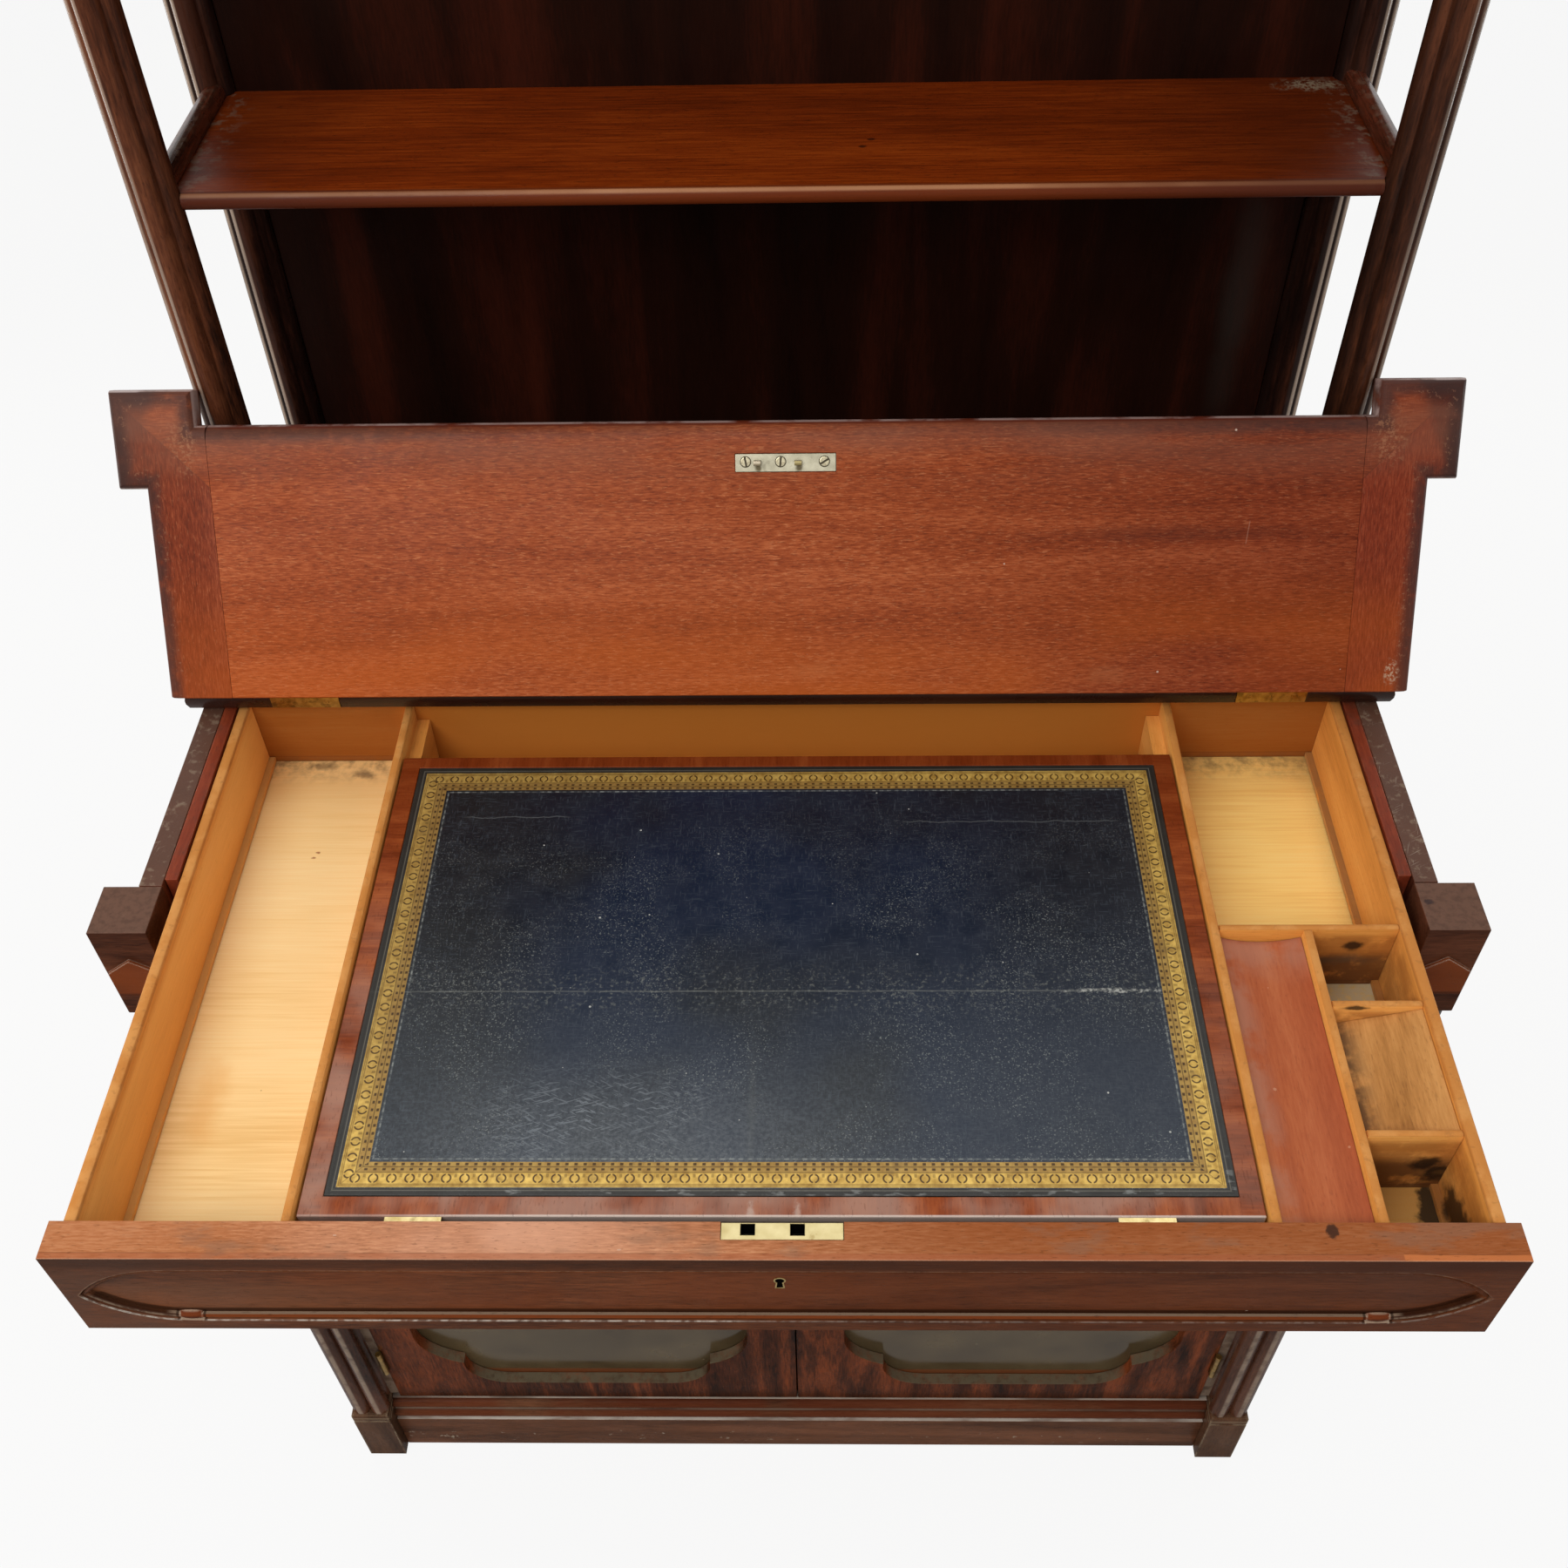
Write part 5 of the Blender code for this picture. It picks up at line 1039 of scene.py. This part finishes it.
def leather_look():
    paint = Paint("blue_leather", 0.4, specular=0.3)
    paint.tint = ramp(noise(6, detail=2).ease(0.35, 0.62), (0, (12, 15, 18)), (1, (13, 25, 44)))
    paint.lay((13, 14, 14), X.ease(-0.12, -0.22), 0.8)
    paint.lay((15, 15, 14), X.ease(0.06, 0.2) * Y.ease(-0.26, -0.06), 0.75)
    fine = noise(420, detail=4, rough=0.7)
    weave = most(noise(1200, drawn_out("x", 8), 1), noise(1200, drawn_out("y", 8), 1))
    paint.lay((70, 78, 86), weave.ease(0.58, 0.74), 0.32)
    # Painted sheen toward the front.
    near_front = Y.ease(-0.1, -0.29)
    paint.lay((68, 75, 82), near_front * fine.ease(0.35, 0.7, 0.4), 0.52)
    dull_corner = Y.ease(-0.2, -0.3) * X.band(-0.2, 0.02, 0.08)
    paint.lay((120, 124, 126), dull_corner * fine.ease(0.35, 0.7, 0.4), 0.34)
    paint.lay((22, 25, 28), near_front * X.ease(0.05, 0.2), 0.25)
    dusty = patches(18, 0.4, 0.64) * Y.ease(0.02, -0.12)
    paint.lay((136, 140, 136), dusty * noise(900, detail=1).ease(0.6, 0.7), 0.5)

    off_fold = Y - FOLD_Y + noise(30, (1, 0, 0), 2) * 0.0016 - 0.0008
    fold = off_fold.band(-0.0004, 0.0004, 0.0006) * noise(45, (1, 0, 0)).ease(0.3, 0.65, 0.25)
    paint.lay((124, 126, 120), fold, 0.55)
    fold_wear = spot((0.213, FOLD_Y, SLOPE_TOP), (0.036, 0.0022, 0.05), 0.9, 260, 0.6)
    paint.lay((196, 196, 188), fold_wear * patches(300, 0.45, 0.6), 0.6)
    by_fold = off_fold.band(-0.014, 0.016, 0.012) * patches(420, 0.55, 0.66)
    paint.lay((112, 114, 108), by_fold, 0.45)
    for x, reach, y in ((-0.187, 0.036, -0.0216), (0.157, 0.073, -0.0272)):
        wave = noise(60, (1, 0, 0), 3) * 0.006 + (y - 0.003)
        crease = (Y - wave).band(-0.0003, 0.0003, 0.0004)
        paint.lay((104, 108, 108), crease * X.band(x - reach, x + reach, 0.004), 0.5)
    paint.lay((92, 94, 90), X.band(-0.019, -0.015, 0.002) * Y.ease(-0.18, -0.26), 0.16)
    wrinkled = spot((-0.11, -0.262, SLOPE_TOP), (0.125, 0.046, 0.05), 0.4, 20, 0.95)
    wrinkles = most(strokes(radians(-26), 900, 0.62, 7), strokes(radians(16), 800, 0.63, 7))
    wrinkles = wrinkles * noise(26).ease(0.3, 0.6, 0.3) * wrinkled
    # The wrinkles are relief; their pale colour is a painted highlight.
    paint.lay((138, 145, 150), wrinkles, 0.42)
    paint.lay((206, 206, 198), specks(0.011, 0.0008), 0.6)

    inward, gold, inner_rows, tooling, blind = gilt_border()
    paint.lay((38, 34, 27), inward.ease(0, -0.001), 0.85)
    for line, colour in ((-0.002, (112, 108, 96)), (-0.0036, (14, 13, 11))):
        paint.lay(colour, inward.band(line - 0.0003, line + 0.0003, 0.0003), 0.5)
    glints = inward.band(-0.005, -0.0012, 0.0008) * noise(260, drawn_out("x", 3)).ease(0.55, 0.68)
    paint.lay((170, 172, 168), glints * Y.ease(-0.28, -0.31) * X.ease(-0.2, -0.15), 0.3)
    paint.lay((150, 154, 148), blind * noise(160).ease(0.35, 0.62, 0.3), 0.55)
    gilt = ramp(noise(220, detail=4), (0.3, (158, 122, 52)), (0.7, (212, 176, 90)))
    paint.lay(gilt, gold)
    paint.lay((112, 86, 48), gold * X.ease(0.1, -0.15) * Y.ease(-0.3, -0.2), 0.35)
    paint.lay((120, 90, 50), gold * inner_rows, 0.55)
    paint.lay((58, 38, 20), gold * tooling, 0.92)
    paint.lay((112, 88, 48), gold * patches(70, 0.58, 0.7), 0.45)
    paint.set("Metallic", gold * 0.3)
    paint.height = most(fold, wrinkles) * 0.6 + tooling * -0.6 + fine
    paint.uneven(0.08, 60)
    return paint


def metal_looks():
    lock = metal("lock_brass", 0.3, 90, (152, 138, 96), (174, 162, 122))
    lock.lay((120, 100, 56), patches(140, 0.6, 0.7), 0.5)
    lock.lay((110, 90, 46), edges(0.0014), 0.5)
    # Painted shade: the inside of the lock's holes is black and not metal.
    inside = Z.ease(0.9093, 0.9088)
    lock.lay((7, 6, 5), inside)
    lock.set("Metallic", 1 - inside)
    dress(lock, "box_lock", edge=FINE_EDGE_WIDTH)

    brass = metal("hinge_brass", 0.38, 160, (128, 98, 50), (176, 146, 86))
    brass.lay((70, 54, 34), patches(120, 0.52, 0.66), 0.6)
    brass.uneven(0.1, 90)
    hinges = [name for name in NODES if "hinge" in name and "slope" not in name]
    dress(brass, *hinges, edge=FINE_EDGE_WIDTH)

    pale = metal("slope_hinge_brass", 0.38, 160, (168, 146, 92), (206, 190, 140))
    pale.lay((110, 88, 50), patches(120, 0.56, 0.68), 0.5)
    pale.uneven(0.1, 90)
    dress(pale, *pair("slope_hinge"), edge=FINE_EDGE_WIDTH)

    nickel = metal("nickel", 0.36, 110, (142, 136, 116), (174, 168, 146), lid=True)
    nickel.lay((112, 106, 88), patches(150, 0.58, 0.7), 0.5)
    tip = LID_UNDERSIDE - LINK_DROP + 0.001
    # Painted shade on the sides of the links.
    nickel.lay((92, 80, 46), Z.band(tip + 0.0002, LID_UNDERSIDE - 0.0002, 0.0002), 0.9)
    # Painted shade in the corners round the links.
    nickel.lay((60, 50, 34), corners(0.003), 0.8)
    for x, colour in LINK_TIPS:
        # Painted shadow on the plate below each link.
        foot = (x + 0.0006, LINK_Y + 0.004, LID_UNDERSIDE)
        nickel.lay((64, 52, 28), spot(foot, (0.0034, 0.0036, 0.003), 0.3, 300, 0.7), 0.85)
        on_tip = Z.ease(tip, tip - 0.0004) * X.band(x - 0.004, x + 0.004, 0.0005)
        nickel.lay(colour, on_tip, 0.8)
        # Painted shade on the part of each tip toward the hinge.
        nickel.lay((74, 62, 36), on_tip * Y.band(LINK_Y + 0.0008, LINK_Y + 0.003, 0.0003), 0.7)
    dress(nickel, "link_plate", edge=FINE_EDGE_WIDTH)


def new_piece(name, work, material, body):
    """Make an object of a bmesh and let it ride on a body."""
    bmesh.ops.recalc_face_normals(work, faces=work.faces)
    mesh = bpy.data.meshes.new(name)
    work.to_mesh(mesh)
    work.free()
    mesh.materials.append(material)
    piece = add_object(name, mesh)
    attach(piece, body)
    return piece


def add_stack(work, loops, round_again=False):
    """Solid through loops of as many points each, with end faces or on to the first loop again."""
    rings = [[work.verts.new(point) for point in loop] for loop in loops]
    if round_again:
        rings.append(rings[0])
    else:
        work.faces.new(list(reversed(rings[0])))
        work.faces.new(rings[-1])
    for lower, upper in zip(rings, rings[1:]):
        for index in range(len(lower)):
            after = (index + 1) % len(lower)
            work.faces.new((lower[index], lower[after], upper[after], upper[index]))


SCREW_SINK = 0.0006           # how far a screw's head is let in
SCREW_RIM = 0.00006           # height of its rim and of the floor of its slot
SCREW_RISE = 0.00032
SCREW_SLOT = 0.24             # angle, in radians, from a half head's corner to the middle of the slot
# Levels of a half head: share of the radius, and height
SCREW_HEAD = ((0.84, -0.0003), (0.84, 0.7 * SCREW_RISE), (0.74, SCREW_RISE))
LINK_SCREWS = ((-0.025, 100), (-0.001, 85), (0.029, 30))     # x of each, and its turn in degrees
LINK_SCREW_RADIUS = 0.0039
HINGE_SCREWS = (0.18, 0.5, 0.82)     # places along a leaf, as shares of its length
HINGE_SCREW_RADIUS = 0.0025
HINGE_FACE = 0.0762           # front of the fixed hinge leaves
HINGE_SCREW_RISE = 0.0062     # from the foot of a leaf


def screw(name, place, out, radius, turn, material, body):
    """Countersunk screw: a dark rim, and two half heads with the slot between them."""
    work = bmesh.new()
    circle = [2 * pi * step / 20 for step in range(20)]
    disc = [(radius * cos(angle), radius * sin(angle)) for angle in circle]
    add_stack(work, [[(x, y, z) for x, y in disc] for z in (-SCREW_SINK, SCREW_RIM)])
    arc = [SCREW_SLOT + (pi - 2 * SCREW_SLOT) * step / 10 for step in range(11)]
    for sign in (1, -1):
        half = [(radius * cos(angle), sign * radius * sin(angle)) for angle in arc]
        add_stack(work, [[(x * share, y * share, z) for x, y in half] for share, z in SCREW_HEAD])
    piece = new_piece(name, work, material, body)
    upright = Vector(out).to_track_quat("Z", "Y").to_matrix().to_4x4()
    piece.matrix_world = Matrix.Translation(place) @ upright @ Matrix.Rotation(turn, 4, "Z")


def screw_metal(name, dark, light):
    paint = metal(name, 0.34, 900, dark, light, 4)
    paint.lay((34, 27, 18), Z.band(-SCREW_SINK, 0.5 * SCREW_RISE, 0.00004), 0.9)
    paint.uneven(0.08, 400)
    return paint.finish()


def make_screws():
    pale = screw_metal("screw_nickel", (138, 126, 100), (186, 178, 150))
    aged = screw_metal("screw_brass", (110, 82, 42), (164, 130, 72))
    out = LID_TURN @ Vector((0, 0, -1))
    for index, (x, angle) in enumerate(LINK_SCREWS, 1):
        place = LID_TURN @ (Vector((x, LINK_Y, LID_UNDERSIDE)) - LID_PIVOT) + LID_PIVOT
        screw(f"link_screw_{index}", place, out, LINK_SCREW_RADIUS, radians(angle), pale, "lid")
    for side, sign in SIDES:
        low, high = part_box(f"lid_hinge_base_{side}")
        for index, share in enumerate(HINGE_SCREWS, 1):
            place = (low[0] + share * (high[0] - low[0]), HINGE_FACE, low[2] + HINGE_SCREW_RISE)
            angle = radians(40 * index + 15 * sign)
            name = f"lid_hinge_screw_{side}_{index}"
            screw(name, place, FRONT, HINGE_SCREW_RADIUS, angle, aged, "case")


KEYHOLE_PLACE = (0.0005, SUNK_FACE, 0.877)
KEYHOLE_RADIUS = 0.0027
KEYHOLE_DROP = 0.0085         # centre of the round part to the foot of the slot
KEYHOLE_NECK = 0.0014         # half widths of the slot
KEYHOLE_FOOT = 0.002
HOLE_PLAY = 0.00002           # between the dark plug, painted shade for the hole, and its liner
HOLE_DEPTHS = (0.0004, -0.00008)
# Corners of the liner's section: how far out from the hole and how deep
LINER = ((0.0009, 0.0003), (0.0009, -0.0002), (0.00063, -0.0003), (0, -0.00025), (0, 0.0003))


def keyhole_outline(grow, depth):
    """Round head over a slot that widens to its foot."""
    x, y, z = KEYHOLE_PLACE
    radius = KEYHOLE_RADIUS + grow
    foot = KEYHOLE_FOOT + grow
    start = acos((KEYHOLE_NECK + grow) / radius)
    angles = [-start + (pi + 2 * start) * step / 16 for step in range(17)]
    points = [(x + radius * cos(angle), y + depth, z + radius * sin(angle)) for angle in angles]
    bottom = z - KEYHOLE_DROP - grow
    return points + [(x - foot, y + depth, bottom), (x + foot, y + depth, bottom)]


def make_keyhole():
    """Brass liner let into the sunk panel, with a dark plug inside it as painted shade for the hole."""
    brass = metal("keyhole_brass", 0.34, 900, (150, 122, 66), (206, 184, 124), 4)
    brass.uneven(0.08, 400)
    # Painted shade: a dark plug stands in the keyhole.
    dark = Paint("keyhole_shade", 0.8, specular=0)
    dark.tint = ramp(noise(800), (0.3, (6, 5, 4)), (0.7, (16, 12, 10)))
    work = bmesh.new()
    add_stack(work, [keyhole_outline(grow, depth) for grow, depth in LINER], round_again=True)
    new_piece("keyhole_liner", work, brass.finish(), "drawer")
    work = bmesh.new()
    add_stack(work, [keyhole_outline(-HOLE_PLAY, depth) for depth in HOLE_DEPTHS])
    new_piece("keyhole_shade_plug", work, dark.finish(), "drawer")


BOARD_LEFT = (0.3443, 0.887)     # x and z of the top edges of the sloping board in the middle ink well
BOARD_RIGHT = (0.3997, 0.9035)
BOARD_FRONT = -0.2713
BOARD_REAR = -0.1853
BOARD_THICKNESS = 0.003
BOARD_CUP = 0.0006               # rise of its edges


def make_sloping_board():
    cedar = ((146, 96, 46), (180, 124, 66), (202, 146, 84))
    paint = wood("board_cedar", cedar, "y", (104, 62, 32), 0.25, roughness=0.55, figure=24)
    paint.lay((60, 48, 38), X.ease(0.366, 0.346) * patches(60, 0.34, 0.56), 0.85)
    work = bmesh.new()
    bmesh.ops.create_cube(work, size=1)
    across = [edge for edge in work.edges if abs(edge.verts[0].co.x - edge.verts[1].co.x) > 0.5]
    bmesh.ops.subdivide_edges(work, edges=across, cuts=5)
    run = BOARD_RIGHT[0] - BOARD_LEFT[0]
    climb = BOARD_RIGHT[1] - BOARD_LEFT[1]
    for vert in work.verts:
        share = vert.co.x + 0.5
        cup = BOARD_CUP * (2 * share - 1) ** 2
        vert.co.x = BOARD_LEFT[0] + share * run
        vert.co.y = BOARD_FRONT + (vert.co.y + 0.5) * (BOARD_REAR - BOARD_FRONT)
        vert.co.z = BOARD_LEFT[1] + share * climb + cup + (vert.co.z - 0.5) * BOARD_THICKNESS
    piece = new_piece("ink_sloping_board", work, paint.finish(), "drawer")
    smooth_edges(piece, FINE_EDGE_WIDTH)


make_camera()
make_floor()
make_light()
superstructure_looks()
top_looks()
case_looks()
plinth_looks()
door_looks()
drawer_looks()
dress(slope_look(), "writing_slope")
dress(leather_look(), "leather", edge=FINE_EDGE_WIDTH)
metal_looks()
make_screws()
make_keyhole()
make_sloping_board()
bpy.context.scene.view_settings.view_transform = "Standard"
